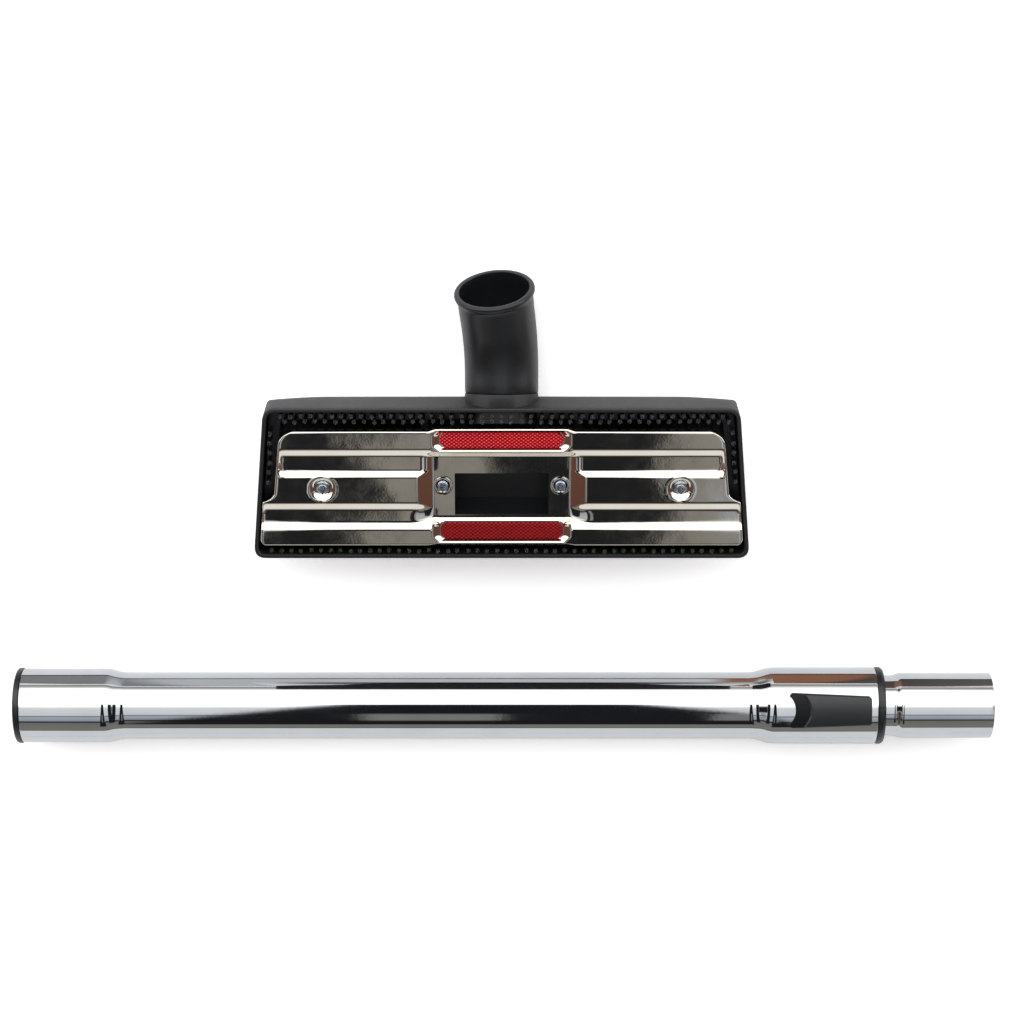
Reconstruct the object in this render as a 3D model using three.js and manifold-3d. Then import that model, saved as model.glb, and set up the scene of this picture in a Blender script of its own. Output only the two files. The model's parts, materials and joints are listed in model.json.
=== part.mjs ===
// Floor tool with a swivel neck and a retractable brush, and the telescopic wand that plugs into it.
// Millimetres, +Z up. The floor tool lies on the hump of its top cover with the sole facing up, and
// the wand lies beside it. The origin is on the hump's flat, on the surface that both lie on.
import * as THREE from 'three';
import { mergeVertices } from 'three/addons/utils/BufferGeometryUtils.js';
import Module from 'manifold-3d';

const wasm = await Module();
wasm.setup();

// ---- Driving dimensions -------------------------------------------------------------------------
const GAP = 0.3;                 // clearance between neighbouring pieces
const THROUGH = 1;               // how far a cutter runs past what it cuts

// Housing
const RIM_Z = 47;                // height of the skirt's rim above the surface it lies on
const FRONT_Y = -42.2;
const REAR_Y = 44;
const FRONT_HALF = 136;          // half width at the front rim
const REAR_HALF = 128.4;         // half width at the rear rim
const RIM_CORNER = 7;
const WALL = 2.2;
const HUMP_HALF = 52;            // half width of the flat that the tool lies on
const HUMP_FRONT_Y = -37;
const HUMP_REAR_Y = 22;
const REAR_WALL_LOW_Z = 27;      // where the upright rear wall turns into the cover
const FRONT_WALL_LOW_Z = 27;
const WING_X = [72, 82, 108];    // where the cover leaves the hump, climbs and levels off
const WING_Z = [17, 20, 22, 28]; // its height on the climb, at the shoulder, past it and at the end wall
const BOSS_R = 4.5;
const BOSS_LOW_Z = 19.6;
const PILOT_R = 1.8;             // pilot holes of the plate screws

// Sole plate
const LAND_Z = 48.5;             // height of the gliding lands
const SHEET = 1;
const SKIRT = 4;
const PLATE_REAR_Y = 31.6;
const PLATE_FRONT_Y = -34.3;
const GROOVE_DEPTH = 2.5;
const PANEL_DEPTH = 3.8;         // central recess around the suction mouth
const PANEL_Z = LAND_Z - PANEL_DEPTH;
const PANEL_HALF = 42;
const PANEL_Y = [-19.6, 20.4];
const PANEL_BACKING = 23;        // half length in Y of the block that the recess is pressed into
const GROOVE_INNER = 40;
const GROOVE_A = { end: 117.5, y: [5.9, 22.7] };
const GROOVE_B = { end: 127, y: [-24.9, -9.7] };
const DIMPLE_DEPTH = 2.2;
const DIMPLE_R = [5.4, 7.9];     // at the bottom and at the land
const BULGE_HALF = 36.5;         // the rear edge stands further back over the rear strip
const BULGE = 1.6;
const STRIP_HALF = 33.2;
const STRIP_DEPTH = 2.4;
const STRIP_REAR = [21.4, 30.8];
const STRIP_FRONT = [-31, -21];
const STRIP_CHAMFER = 3;
const MOUTH_HALF = 25.5;
const MOUTH_Y = [-17.3, 6.6];
const BIG_SCREW = [97.2, -1.4];
const SMALL_SCREW = [32, -0.4];
const SMALL_HEAD_R = 3.1;

// Suction duct
const DUCT_WALL = 2;
const DUCT_HALF = 28;
const DUCT_Y = [-19.8, 9.1];
const DUCT_LOW_Z = 12.6;
const DUCT_REAR_TOP_Z = 31;
const EAR_R = 4;
const EAR_HEIGHT = 8;

// Brush
const FRAME_LOW_Z = 32;
const FRAME_TOP_Z = 35;
const BRISTLE_TIP_Z = 46.5;
const BRISTLE_THICK = 2;
const BRIDGE_X = 42;             // of the two bridges that the pedal levers push on
const BRIDGE_HALF = 2;
const BRUSH_ROOM = 0.7;

// Pedal
const PEDAL_AXIS_Y = -21;
const PEDAL_AXIS_Z = 6.6;
const SHAFT_R = 1.8;
const POCKET_HALF = 27;
const POCKET_Y = [-34, -8];
const POCKET_FLOOR_Z = 10.6;
const POCKET_WALL = 2;
const POCKET_SKIN = 1.6;
const LEVER_NOSE = [7.7, 28.6];
const LEVER_HALF = 1.5;          // half of a lever's thickness
const LEVER_HUB_R = 3.5;
const LEVER_NOSE_R = 3;

// Neck
const SEAM = [0, 47.6, 25];      // centre of the joint face between the stub and the elbow
const NECK_DROP_DEG = 14;        // how far the stub's axis points below the horizontal
const NECK_BEND_DEG = 29;
const NECK_SWIVEL_DEG = 13;      // how far the elbow is turned at rest
const STUB_R = 20;
const STUB_BORE_R = 18.4;
const SPIGOT_R = 18.1;
const SPIGOT_BORE_R = 16.3;
const SPIGOT_LENGTH = 7.6;
const ELBOW_BORE_R = 17.4;
const SEAM_GAP = 0.4;
const SOCKET_R = 18.8;           // takes the plain end of the wand
const SOCKET_LENGTH = 22;
const BEND_R = 60;
const NECK_START = 8;            // straight stretch before the bend
const NECK_END = 20.8;           // straight stretch after the bend
const SLEEVE_R = 20.5;
const FLANGE_R = 21.9;
const FLANGE_LENGTH = 3.4;
const RING_GROOVE = [-5.4, -3.4]; // of the seal ring, along the neck from the seam
const RING_GROOVE_R = SPIGOT_R - 0.9;

// Wand
const WAND_Y = -141.5;
const WAND_Z = 22;
const TUBE_R = 19;
const TUBE_BORE_R = 18.2;
const SOCKET_BORE_R = 20.1;
const COLLAR_BORE_R = 20.65;
const SLEEVE_WALL = 0.7;
const LIP_R = 21.5;
const BUSH_LIP_R = 22;
const SOCKET_OUT_R = 21.15;
const COLLAR_R = 21.85;
const INNER_R = 17.15;
const INNER_BORE_R = 16.2;
const TIP_R = 18.6;
const TIP_BORE_R = 17.7;
const X_LIP = -276.1;
const X_SOCKET = -272.6;
const X_SOCKET_END = -223.4;
const X_TUBE = -216.4;
const X_TUBE_END = 142.8;
const X_COLLAR = 151.6;
const X_COLLAR_END = 212.1;
const X_BUSH_END = 216.4;
const X_FLARE = 223;
const X_TIP = 225.8;
const X_TIP_END = 278;
const X_SLEEVE_END = -228;
const X_INNER_START = -205;
const BUTTON_TURN_DEG = -16;     // the latch sits a little round the tube
const BUTTON_X = [162.1, 207.9];
const BUTTON_HALF = [10, 8.2];   // half width at its bitten end and at its plain end
const BUTTON_TOP_R = 25;
const BUTTON_CORNER = 1.5;
const STEM_X = [176, 195];
const STEM_HALF = 4;
const STEM_LOW = 20.9;
const LATCH_WINDOW_X = [171, 201];
const LATCH_WINDOW_HALF = 5;
const PAWL_X = [181, 187];
const PAWL_HALF = 5;
const PAWL_R = [17.6, 19.4];
const SPRING_X = [189, 207];
const SPRING_HALF = 3;
const SPRING_R = 19.2;
const SPRING_THICK = 0.5;
const SPRING_RISE = 1.4;
const NOTCH_PITCH = 48;
const NOTCH_COUNT = 8;
const NOTCH_LENGTH = 6.8;
const NOTCH_HALF = 5.4;
const GLIDE_LENGTH = 14;

const SIDES = 48;
const NECK_SIDES = 40;

// ---- Materials ----------------------------------------------------------------------------------
function material(color, roughness, metalness) {
  return new THREE.MeshStandardMaterial({ color, roughness, metalness });
}
const blackPlastic = () => material(0x1c1e20, 0.5, 0);
const nickel = () => material(0xcfc9bd, 0.12, 1);
const chrome = () => material(0xd9dcdf, 0.08, 1);
const zinc = () => material(0xaeb6bf, 0.3, 1);
const redCloth = () => material(0xb0141c, 0.9, 0);
const bristle = () => material(0x0c0c0d, 0.6, 0);
const felt = () => material(0x2a2a2a, 0.95, 0);

// ---- Solids -------------------------------------------------------------------------------------
function solid(geometry) {
  const bare = geometry.index ? geometry.toNonIndexed() : geometry.clone();
  bare.deleteAttribute('normal');
  bare.deleteAttribute('uv');
  const merged = mergeVertices(bare, 1e-4);
  return new wasm.Manifold(new wasm.Mesh({
    numProp: 3,
    vertProperties: new Float32Array(merged.attributes.position.array),
    triVerts: new Uint32Array(merged.index.array),
  }));
}

function geometryOf(manifold) {
  const mesh = manifold.getMesh();
  const geometry = new THREE.BufferGeometry();
  geometry.setAttribute('position', new THREE.BufferAttribute(mesh.vertProperties, 3));
  geometry.setIndex(new THREE.BufferAttribute(mesh.triVerts, 1));
  geometry.computeVertexNormals();
  return geometry;
}

function part(name, shape, look) {
  const geometry = shape instanceof THREE.BufferGeometry ? shape : geometryOf(shape);
  const mesh = new THREE.Mesh(geometry, look);
  mesh.name = name;
  return mesh;
}

function box(x0, x1, y0, y1, z0, z1) {
  const geometry = new THREE.BoxGeometry(x1 - x0, y1 - y0, z1 - z0);
  geometry.translate((x0 + x1) / 2, (y0 + y1) / 2, (z0 + z1) / 2);
  return solid(geometry);
}

// A closed outline through corner points, each rounded by its own radius.
function roundedShape(corners) {
  const shape = new THREE.Shape();
  const count = corners.length;
  corners.forEach(([x, y, radius], i) => {
    const here = new THREE.Vector2(x, y);
    const before = new THREE.Vector2(...corners[(i + count - 1) % count].slice(0, 2));
    const after = new THREE.Vector2(...corners[(i + 1) % count].slice(0, 2));
    const start = here.clone().add(before.sub(here).setLength(radius));
    const end = here.clone().add(after.sub(here).setLength(radius));
    if (i === 0) shape.moveTo(start.x, start.y);
    else shape.lineTo(start.x, start.y);
    if (radius > 0) shape.quadraticCurveTo(x, y, end.x, end.y);
  });
  shape.closePath();
  return shape;
}

function rectangle(x0, x1, y0, y1, radius) {
  return roundedShape([[x0, y0, radius], [x1, y0, radius], [x1, y1, radius], [x0, y1, radius]]);
}

function slab(shape, z0, z1, curveSegments = 5) {
  const geometry = new THREE.ExtrudeGeometry(shape, { depth: z1 - z0, bevelEnabled: false, curveSegments });
  geometry.translate(0, 0, z0);
  return solid(geometry);
}

// A cutter for a pressed hollow: the outline at the top, narrower by the slope at the bottom.
function dish(shape, bottom, top, slope) {
  const depth = top - bottom;
  const geometry = new THREE.ExtrudeGeometry(shape, {
    depth: THROUGH,
    bevelEnabled: true,
    bevelThickness: depth,
    bevelSize: slope,
    bevelOffset: -slope,
    bevelSegments: 1,
    curveSegments: 4,
  });
  geometry.translate(0, 0, top);
  return solid(geometry);
}

// A profile drawn in (x, z), extruded along Y.
function prismY(shape, y0, y1, curveSegments = 6) {
  const geometry = new THREE.ExtrudeGeometry(shape, { depth: y1 - y0, bevelEnabled: false, curveSegments });
  geometry.rotateX(Math.PI / 2);
  geometry.translate(0, y1, 0);
  return solid(geometry);
}

// A profile drawn in (y, z), extruded along X.
function prismX(shape, x0, x1, curveSegments = 6) {
  const geometry = new THREE.ExtrudeGeometry(shape, { depth: x1 - x0, bevelEnabled: false, curveSegments });
  geometry.rotateX(Math.PI / 2);
  geometry.rotateZ(Math.PI / 2);
  geometry.translate(x0, 0, 0);
  return solid(geometry);
}

// A ring or a disc turned about Z: points are [radius, height], anticlockwise round the section. A disc
// starts and ends on the axis.
function turned(points, sides = SIDES) {
  const onAxis = points[0][0] === 0;
  const loop = onAxis ? points : [...points, points[0]];
  const profile = loop.map(([r, h]) => new THREE.Vector2(r, h));
  const geometry = new THREE.LatheGeometry(profile, sides);
  geometry.rotateX(Math.PI / 2);
  return solid(geometry);
}

function rod(radius, z0, z1, sides = SIDES) {
  const geometry = new THREE.CylinderGeometry(radius, radius, z1 - z0, sides);
  geometry.rotateX(Math.PI / 2);
  geometry.translate(0, 0, (z0 + z1) / 2);
  return solid(geometry);
}

// The same solid with its Z axis laid along +X.
function alongX(manifold) {
  return manifold.rotate([0, 90, 0]);
}

// ---- Housing ------------------------------------------------------------------------------------
function halfWidthAt(y) {
  return FRONT_HALF + (REAR_HALF - FRONT_HALF) * (y - FRONT_Y) / (REAR_Y - FRONT_Y);
}

function rimShape(inset) {
  const front = FRONT_Y + inset;
  const rear = REAR_Y - inset;
  const corner = Math.max(RIM_CORNER - inset, 1.5);
  return roundedShape([
    [-halfWidthAt(front) + inset, front, corner],
    [halfWidthAt(front) - inset, front, corner],
    [halfWidthAt(rear) - inset, rear, corner],
    [-halfWidthAt(rear) + inset, rear, corner],
  ]);
}

// Front view: flat hump in the middle, cover rising towards the ends.
function frontProfile(inset, top) {
  const end = FRONT_HALF + THROUGH;
  const shape = new THREE.Shape();
  const [leave, climb, level] = WING_X;
  const [climbZ, levelZ, pastZ, endZ] = WING_Z.map((z) => z + inset);
  shape.moveTo(-end, top);
  shape.lineTo(-end, endZ);
  shape.quadraticCurveTo(-end + 5, pastZ, -level, levelZ);
  shape.bezierCurveTo(-climb, climbZ, -leave, inset, -HUMP_HALF, inset);
  shape.lineTo(HUMP_HALF, inset);
  shape.bezierCurveTo(leave, inset, climb, climbZ, level, levelZ);
  shape.quadraticCurveTo(end - 5, pastZ, end, endZ);
  shape.lineTo(end, top);
  shape.closePath();
  return shape;
}

// Side view: upright walls that turn into the cover.
function sideProfile(inset, top) {
  const front = FRONT_Y + inset;
  const rear = REAR_Y - inset;
  const shape = new THREE.Shape();
  shape.moveTo(front, top);
  shape.lineTo(front, FRONT_WALL_LOW_Z);
  shape.bezierCurveTo(front, 12 + inset, HUMP_FRONT_Y - 2, inset, HUMP_FRONT_Y + 8, inset);
  shape.lineTo(HUMP_REAR_Y, inset);
  shape.bezierCurveTo(HUMP_REAR_Y + 8, inset, rear - 2, 14 + inset, rear, REAR_WALL_LOW_Z);
  shape.lineTo(rear, top);
  shape.closePath();
  return shape;
}

function coverBlock(inset, top) {
  const plan = slab(rimShape(inset), -THROUGH, top);
  const front = prismY(frontProfile(inset, top), FRONT_Y - THROUGH, REAR_Y + THROUGH);
  const side = prismX(sideProfile(inset, top), -FRONT_HALF - THROUGH, FRONT_HALF + THROUGH);
  return plan.intersect(front).intersect(side);
}

// Lays a solid drawn along local Z on the stub's axis, with the seam at local zero.
function onNeckAxis(manifold) {
  return manifold.rotate([-90 - NECK_DROP_DEG, 0, 0]).translate(SEAM);
}

function screwBosses() {
  const [x, y] = BIG_SCREW;
  const underDimple = LAND_Z - DIMPLE_DEPTH - SHEET - GAP;
  const threadLength = 11;
  const boss = rod(BOSS_R, BOSS_LOW_Z, underDimple - GAP, 24);
  const hole = rod(PILOT_R, underDimple - threadLength, LAND_Z, 16);
  const cut = boss.subtract(hole);
  return [cut.translate([x, y, 0]), cut.translate([-x, y, 0])];
}

function housingShell() {
  const pocketOuter = box(
    -POCKET_HALF - POCKET_WALL, POCKET_HALF + POCKET_WALL,
    POCKET_Y[0] - POCKET_WALL, POCKET_Y[1] + POCKET_WALL, 0, POCKET_FLOOR_Z + POCKET_SKIN);
  const pocket = box(-POCKET_HALF, POCKET_HALF, POCKET_Y[0], POCKET_Y[1], -THROUGH, POCKET_FLOOR_Z);
  const holeHalf = POCKET_HALF + POCKET_WALL * 2;
  const shaftHole = alongX(rod(SHAFT_R + GAP, -holeHalf, holeHalf, 16))
    .translate([0, PEDAL_AXIS_Y, PEDAL_AXIS_Z]);
  const belowRim = box(-STUB_R - 1, STUB_R + 1, 0, REAR_Y + STUB_R, -THROUGH, RIM_Z);
  const stub = onNeckAxis(rod(STUB_R, -30, 0)).intersect(belowRim);
  const bore = onNeckAxis(rod(STUB_BORE_R, -SPIGOT_LENGTH - 0.4, THROUGH));
  const clear = onNeckAxis(rod(STUB_R + 1, 0, 12));
  let shell = coverBlock(0, RIM_Z).add(stub).subtract(coverBlock(WALL, RIM_Z + THROUGH));
  for (const boss of screwBosses()) shell = shell.add(boss);
  return shell.add(pocketOuter).subtract(pocket).subtract(shaftHole).subtract(bore).subtract(clear);
}

// ---- Sole plate ---------------------------------------------------------------------------------
function plateShape(inset) {
  const frontHalf = halfWidthAt(PLATE_FRONT_Y) - WALL - 0.5 - inset;
  const stepHalf = halfWidthAt(-8) - WALL - 0.5 - inset;
  const rearHalf = 120 - inset;
  const midHalf = 123.2 - inset;
  const rear = PLATE_REAR_Y - inset;
  const front = PLATE_FRONT_Y + inset;
  const lip = BULGE_HALF - inset;
  const right = [
    [frontHalf, front, 4],
    [stepHalf, -7.6 - inset, 2],
    [midHalf, -1 - inset, 2],
    [rearHalf, rear, 6],
    [lip + 3, rear, 1],
    [lip, rear + BULGE, 1],
  ];
  const left = right.map(([x, y, radius]) => [-x, y, radius]).reverse();
  return roundedShape([...right, ...left]);
}

function ordered(a, b) {
  return [Math.min(a, b), Math.max(a, b)];
}

// Cutters for everything pressed into the sheet. grow is 0 for its upper face and the sheet's thickness
// for its underside.
function pressedHollows(grow) {
  const hollows = [];
  for (const side of [-1, 1]) {
    for (const groove of [GROOVE_A, GROOVE_B]) {
      const [x0, x1] = ordered(side * (GROOVE_INNER - grow), side * (groove.end + grow));
      const outline = rectangle(x0, x1, groove.y[0] - grow, groove.y[1] + grow, 0);
      hollows.push(dish(outline, LAND_Z - GROOVE_DEPTH - grow, LAND_Z, 4));
    }
    const [low, high] = DIMPLE_R.map((radius) => radius + grow);
    const depth = DIMPLE_DEPTH + grow;
    const dimple = turned([[0, -depth], [low, -depth], [high, 0], [high, THROUGH], [0, THROUGH]], 32);
    hollows.push(dimple.translate([side * BIG_SCREW[0], BIG_SCREW[1], LAND_Z]));
  }
  const panel = rectangle(-PANEL_HALF - grow, PANEL_HALF + grow, PANEL_Y[0] - grow, PANEL_Y[1] + grow, 0);
  hollows.push(dish(panel, PANEL_Z - grow, LAND_Z, 3));
  for (const [low, high] of [STRIP_REAR, STRIP_FRONT]) {
    const room = GAP + grow;
    const pocket = rectangle(-STRIP_HALF - room, STRIP_HALF + room, low - room, high + room, 1);
    hollows.push(slab(pocket, LAND_Z - STRIP_DEPTH - grow, LAND_Z + THROUGH));
  }
  return hollows;
}

function solePlate() {
  const backingHalf = PANEL_HALF + SHEET;
  const underside = PANEL_Z - SHEET;
  let plate = slab(plateShape(0), LAND_Z - SKIRT, LAND_Z);
  plate = plate.add(box(-backingHalf, backingHalf, -PANEL_BACKING, PANEL_BACKING, underside, LAND_Z - SHEET));
  let inside = slab(plateShape(SHEET), LAND_Z - SKIRT - 3, LAND_Z - SHEET);
  for (const hollow of pressedHollows(SHEET)) inside = inside.subtract(hollow);
  inside = inside.subtract(box(-backingHalf, backingHalf, -PANEL_BACKING, PANEL_BACKING, underside, LAND_Z));
  plate = plate.subtract(inside);
  for (const hollow of pressedHollows(0)) plate = plate.subtract(hollow);
  plate = plate.subtract(box(-MOUTH_HALF, MOUTH_HALF, MOUTH_Y[0], MOUTH_Y[1], PANEL_Z - 3, LAND_Z));
  for (const side of [-1, 1]) {
    const hole = rod(PILOT_R, PANEL_Z - SHEET * 4, LAND_Z, 16);
    plate = plate.subtract(hole.translate([side * BIG_SCREW[0], BIG_SCREW[1], 0]));
    plate = plate.subtract(hole.translate([side * SMALL_SCREW[0], SMALL_SCREW[1], 0]));
  }
  return plate;
}

function lintStrip([low, high]) {
  const cut = STRIP_HALF - STRIP_CHAMFER;
  const shoulder = high - STRIP_CHAMFER;
  const outline = roundedShape([
    [-STRIP_HALF, low, 1.5], [STRIP_HALF, low, 1.5], [STRIP_HALF, shoulder, 1],
    [cut, high, 1], [-cut, high, 1], [-STRIP_HALF, shoulder, 1]]);
  return slab(outline, LAND_Z - STRIP_DEPTH + GAP, LAND_Z - 0.2);
}

// A cross-head screw, head up, its head's underside at height zero.
function screw(headR, headHeight, shankR, length) {
  const dome = 0.35 * headHeight;
  const body = turned([
    [0, -length], [shankR, -length], [shankR, 0], [headR, 0], [headR, headHeight - dome],
    [headR * 0.7, headHeight - dome * 0.3], [0, headHeight]], 24);
  const arm = headR * 0.62;
  const slot = headR * 0.13;
  const low = headHeight * 0.35;
  const cross = box(-arm, arm, -slot, slot, low, headHeight + 1)
    .add(box(-slot, slot, -arm, arm, low, headHeight + 1));
  return body.subtract(cross);
}

// ---- Suction duct -------------------------------------------------------------------------------
function suctionDuct() {
  const top = PANEL_Z - SHEET - GAP;
  const rear = REAR_Y - WALL - GAP;
  const mouth = box(-DUCT_HALF, DUCT_HALF, DUCT_Y[0], DUCT_Y[1], DUCT_LOW_Z, top);
  const back = box(-DUCT_HALF, DUCT_HALF, DUCT_Y[0], rear, DUCT_LOW_Z, DUCT_REAR_TOP_Z);
  const inner = DUCT_HALF - DUCT_WALL;
  const front = DUCT_Y[0] + DUCT_WALL;
  const floor = DUCT_LOW_Z + DUCT_WALL;
  const mouthHole = box(-inner, inner, front, DUCT_Y[1] - DUCT_WALL, floor, top + THROUGH);
  const backHole = box(-inner, inner, front, rear + THROUGH, floor, DUCT_REAR_TOP_Z - DUCT_WALL);
  const endCut = onNeckAxis(box(-40, 40, -40, 40, -SPIGOT_LENGTH - 0.8, 20));
  let duct = mouth.add(back);
  for (const side of [-1, 1]) {
    const ear = rod(EAR_R, top - EAR_HEIGHT, top, 24).translate([side * SMALL_SCREW[0], SMALL_SCREW[1], 0]);
    const [webFrom, webTo] = ordered(side * inner, side * SMALL_SCREW[0]);
    const web = box(webFrom, webTo, SMALL_SCREW[1] - EAR_R, SMALL_SCREW[1] + EAR_R, top - EAR_HEIGHT, top);
    duct = duct.add(ear).add(web);
  }
  duct = duct.subtract(mouthHole).subtract(backHole).subtract(endCut);
  duct = duct.intersect(coverBlock(WALL + GAP, RIM_Z));
  for (const side of [-1, 1]) {
    const hole = rod(1.5, top - EAR_HEIGHT + 1, top + THROUGH, 16);
    duct = duct.subtract(hole.translate([side * SMALL_SCREW[0], SMALL_SCREW[1], 0]));
  }
  return duct;
}

// ---- Brush --------------------------------------------------------------------------------------
function brushFrame() {
  const inset = WALL + BRUSH_ROOM;
  const frontRail = 4;
  const sideRail = 6.2;
  const outer = slab(rimShape(inset), FRAME_LOW_Z, FRAME_TOP_Z);
  const rearEdge = 34;
  const frontEdge = FRONT_Y + inset + frontRail;
  const side = (y) => halfWidthAt(y) - inset - sideRail;
  const windowShape = roundedShape([
    [-side(frontEdge), frontEdge, 3], [side(frontEdge), frontEdge, 3],
    [side(rearEdge), rearEdge, 3], [-side(rearEdge), rearEdge, 3]]);
  let frame = outer.subtract(slab(windowShape, FRAME_LOW_Z - THROUGH, FRAME_TOP_Z + THROUGH));
  for (const x of [-BRIDGE_X, BRIDGE_X]) {
    const [low, high] = [x - BRIDGE_HALF, x + BRIDGE_HALF];
    frame = frame.add(box(low, high, frontEdge - 1, rearEdge + 1, FRAME_LOW_Z, FRAME_TOP_Z));
  }
  return frame;
}

function bristleRow(from, to) {
  const along = new THREE.Vector2(to[0] - from[0], to[1] - from[1]);
  const height = BRISTLE_TIP_Z - FRAME_TOP_Z - GAP;
  const geometry = new THREE.BoxGeometry(along.length(), BRISTLE_THICK, height);
  const mesh = part('', geometry, bristle());
  mesh.rotation.z = along.angle();
  mesh.position.set(
    (from[0] + to[0]) / 2, (from[1] + to[1]) / 2, FRAME_TOP_Z + GAP + height / 2);
  return mesh;
}

function bristleRows() {
  const insetAt = (y) => halfWidthAt(y) - WALL - BRUSH_ROOM - BRISTLE_THICK;
  const rearOuter = 39.4;
  const rearInner = 36.3;
  const front = -38;
  const sideTop = 33.6;
  const sideLow = -2;
  const rows = {
    bristles_rear_outer: [[-insetAt(rearOuter) + 1, rearOuter], [insetAt(rearOuter) - 1, rearOuter]],
    bristles_rear_inner: [[-insetAt(rearInner) + 1, rearInner], [insetAt(rearInner) - 1, rearInner]],
    bristles_front: [[-insetAt(front) + 1, front], [insetAt(front) - 1, front]],
    bristles_left: [[-insetAt(sideTop), sideTop], [-insetAt(sideLow), sideLow]],
    bristles_right: [[insetAt(sideTop), sideTop], [insetAt(sideLow), sideLow]],
  };
  return Object.entries(rows).map(([name, [from, to]]) => {
    const mesh = bristleRow(from, to);
    mesh.name = name;
    return mesh;
  });
}

// ---- Pedal --------------------------------------------------------------------------------------
function pedal() {
  const side = POCKET_HALF - 0.6;
  const play = 1.3;
  const pad = slab(rectangle(-side, side, POCKET_Y[0] + play, POCKET_Y[1] - play, 2), 0.4, 3.4);
  const hub = alongX(rod(3.4, -side, side, 24)).translate([0, PEDAL_AXIS_Y, PEDAL_AXIS_Z]);
  const web = box(-side, side, PEDAL_AXIS_Y - 2.6, PEDAL_AXIS_Y + 2.6, 2, PEDAL_AXIS_Z);
  const hole = alongX(rod(SHAFT_R + GAP, -side - 1, side + 1, 16)).translate([0, PEDAL_AXIS_Y, PEDAL_AXIS_Z]);
  return pad.add(web).add(hub).subtract(hole);
}

function pedalLever(x) {
  const [noseY, noseZ] = LEVER_NOSE;
  const [low, high] = [x - LEVER_HALF, x + LEVER_HALF];
  const across = [1.6, -2.2];    // from the arm's centre line to its lower edge, in Y and Z
  const hub = alongX(rod(LEVER_HUB_R, low, high, 24)).translate([0, PEDAL_AXIS_Y, PEDAL_AXIS_Z]);
  const nose = alongX(rod(LEVER_NOSE_R, low, high, 24)).translate([0, noseY, noseZ]);
  const shape = new THREE.Shape();
  shape.moveTo(PEDAL_AXIS_Y + across[0], PEDAL_AXIS_Z + across[1]);
  shape.lineTo(noseY + across[0], noseZ + across[1]);
  shape.lineTo(noseY - across[0], noseZ - across[1]);
  shape.lineTo(PEDAL_AXIS_Y - across[0], PEDAL_AXIS_Z - across[1]);
  shape.closePath();
  const arm = prismX(shape, low, high);
  const hole = alongX(rod(SHAFT_R + GAP, low - THROUGH, high + THROUGH, 16));
  return hub.add(arm).add(nose).subtract(hole.translate([0, PEDAL_AXIS_Y, PEDAL_AXIS_Z]));
}

// ---- Neck ---------------------------------------------------------------------------------------
// Centre line from the seam: straight, bend, straight, drawn along local Z and bending to local -Y.
class NeckLine extends THREE.Curve {
  constructor(start) {
    super();
    this.start = start;
    this.bend = THREE.MathUtils.degToRad(NECK_BEND_DEG);
    this.arc = BEND_R * this.bend;
    this.length = NECK_START - start + this.arc + NECK_END;
  }

  getPoint(t, target = new THREE.Vector3()) {
    const along = this.start + t * this.length;
    if (along < NECK_START) return target.set(0, 0, along);
    const angle = Math.min((along - NECK_START) / BEND_R, this.bend);
    const rest = Math.max(along - NECK_START - this.arc, 0);
    const side = BEND_R * (1 - Math.cos(angle)) + rest * Math.sin(angle);
    const ahead = NECK_START + BEND_R * Math.sin(angle) + rest * Math.cos(angle);
    return target.set(0, -side, ahead);
  }
}

function swept(radius, start) {
  const circle = new THREE.Shape();
  circle.absarc(0, 0, radius, 0, Math.PI * 2, false);
  return solid(new THREE.ExtrudeGeometry(circle, {
    extrudePath: new NeckLine(start),
    steps: 13,
    curveSegments: NECK_SIDES / 2,
    bevelEnabled: false,
  }));
}

// Lays a solid drawn along local Z, ending at zero, on the neck's mouth.
function atMouth(manifold) {
  const end = new NeckLine(0).getPoint(1);
  return manifold.rotate([NECK_BEND_DEG, 0, 0]).translate([end.x, end.y, end.z]);
}

function neckElbow() {
  const sleeve = atMouth(rod(SLEEVE_R, -SOCKET_LENGTH - 2, 0, NECK_SIDES));
  const flange = atMouth(turned([
    [0, -FLANGE_LENGTH], [SLEEVE_R, -FLANGE_LENGTH], [FLANGE_R - 0.3, -FLANGE_LENGTH + 0.6],
    [FLANGE_R, -FLANGE_LENGTH / 2], [FLANGE_R - 0.3, -0.5], [FLANGE_R - 1, 0], [0, 0]], NECK_SIDES));
  const socket = atMouth(rod(SOCKET_R, -SOCKET_LENGTH, THROUGH, NECK_SIDES));
  const spigot = rod(SPIGOT_R, -SPIGOT_LENGTH, NECK_START, NECK_SIDES);
  const spigotBore = rod(SPIGOT_BORE_R, -SPIGOT_LENGTH - THROUGH, NECK_START, NECK_SIDES);
  const [low, high] = RING_GROOVE;
  const groove = turned([
    [RING_GROOVE_R, low], [SPIGOT_R + 1, low], [SPIGOT_R + 1, high], [RING_GROOVE_R, high]], NECK_SIDES);
  const elbow = swept(STUB_R, SEAM_GAP).add(sleeve).add(flange);
  const bore = swept(ELBOW_BORE_R, NECK_START / 2);
  return elbow.add(spigot).subtract(bore).subtract(socket).subtract(spigotBore).subtract(groove);
}

function neckSealRing() {
  const inner = RING_GROOVE_R + GAP;
  const [low, high] = [RING_GROOVE[0] + GAP, RING_GROOVE[1] - GAP];
  return turned([[inner, low], [SPIGOT_R, low], [SPIGOT_R, high], [inner, high]], NECK_SIDES);
}

// ---- Wand, drawn along X with its axis at the origin ------------------------------------------------
function tube(points, sides = SIDES) {
  return alongX(turned(points.map(([x, r]) => [r, x]), sides));
}

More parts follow.
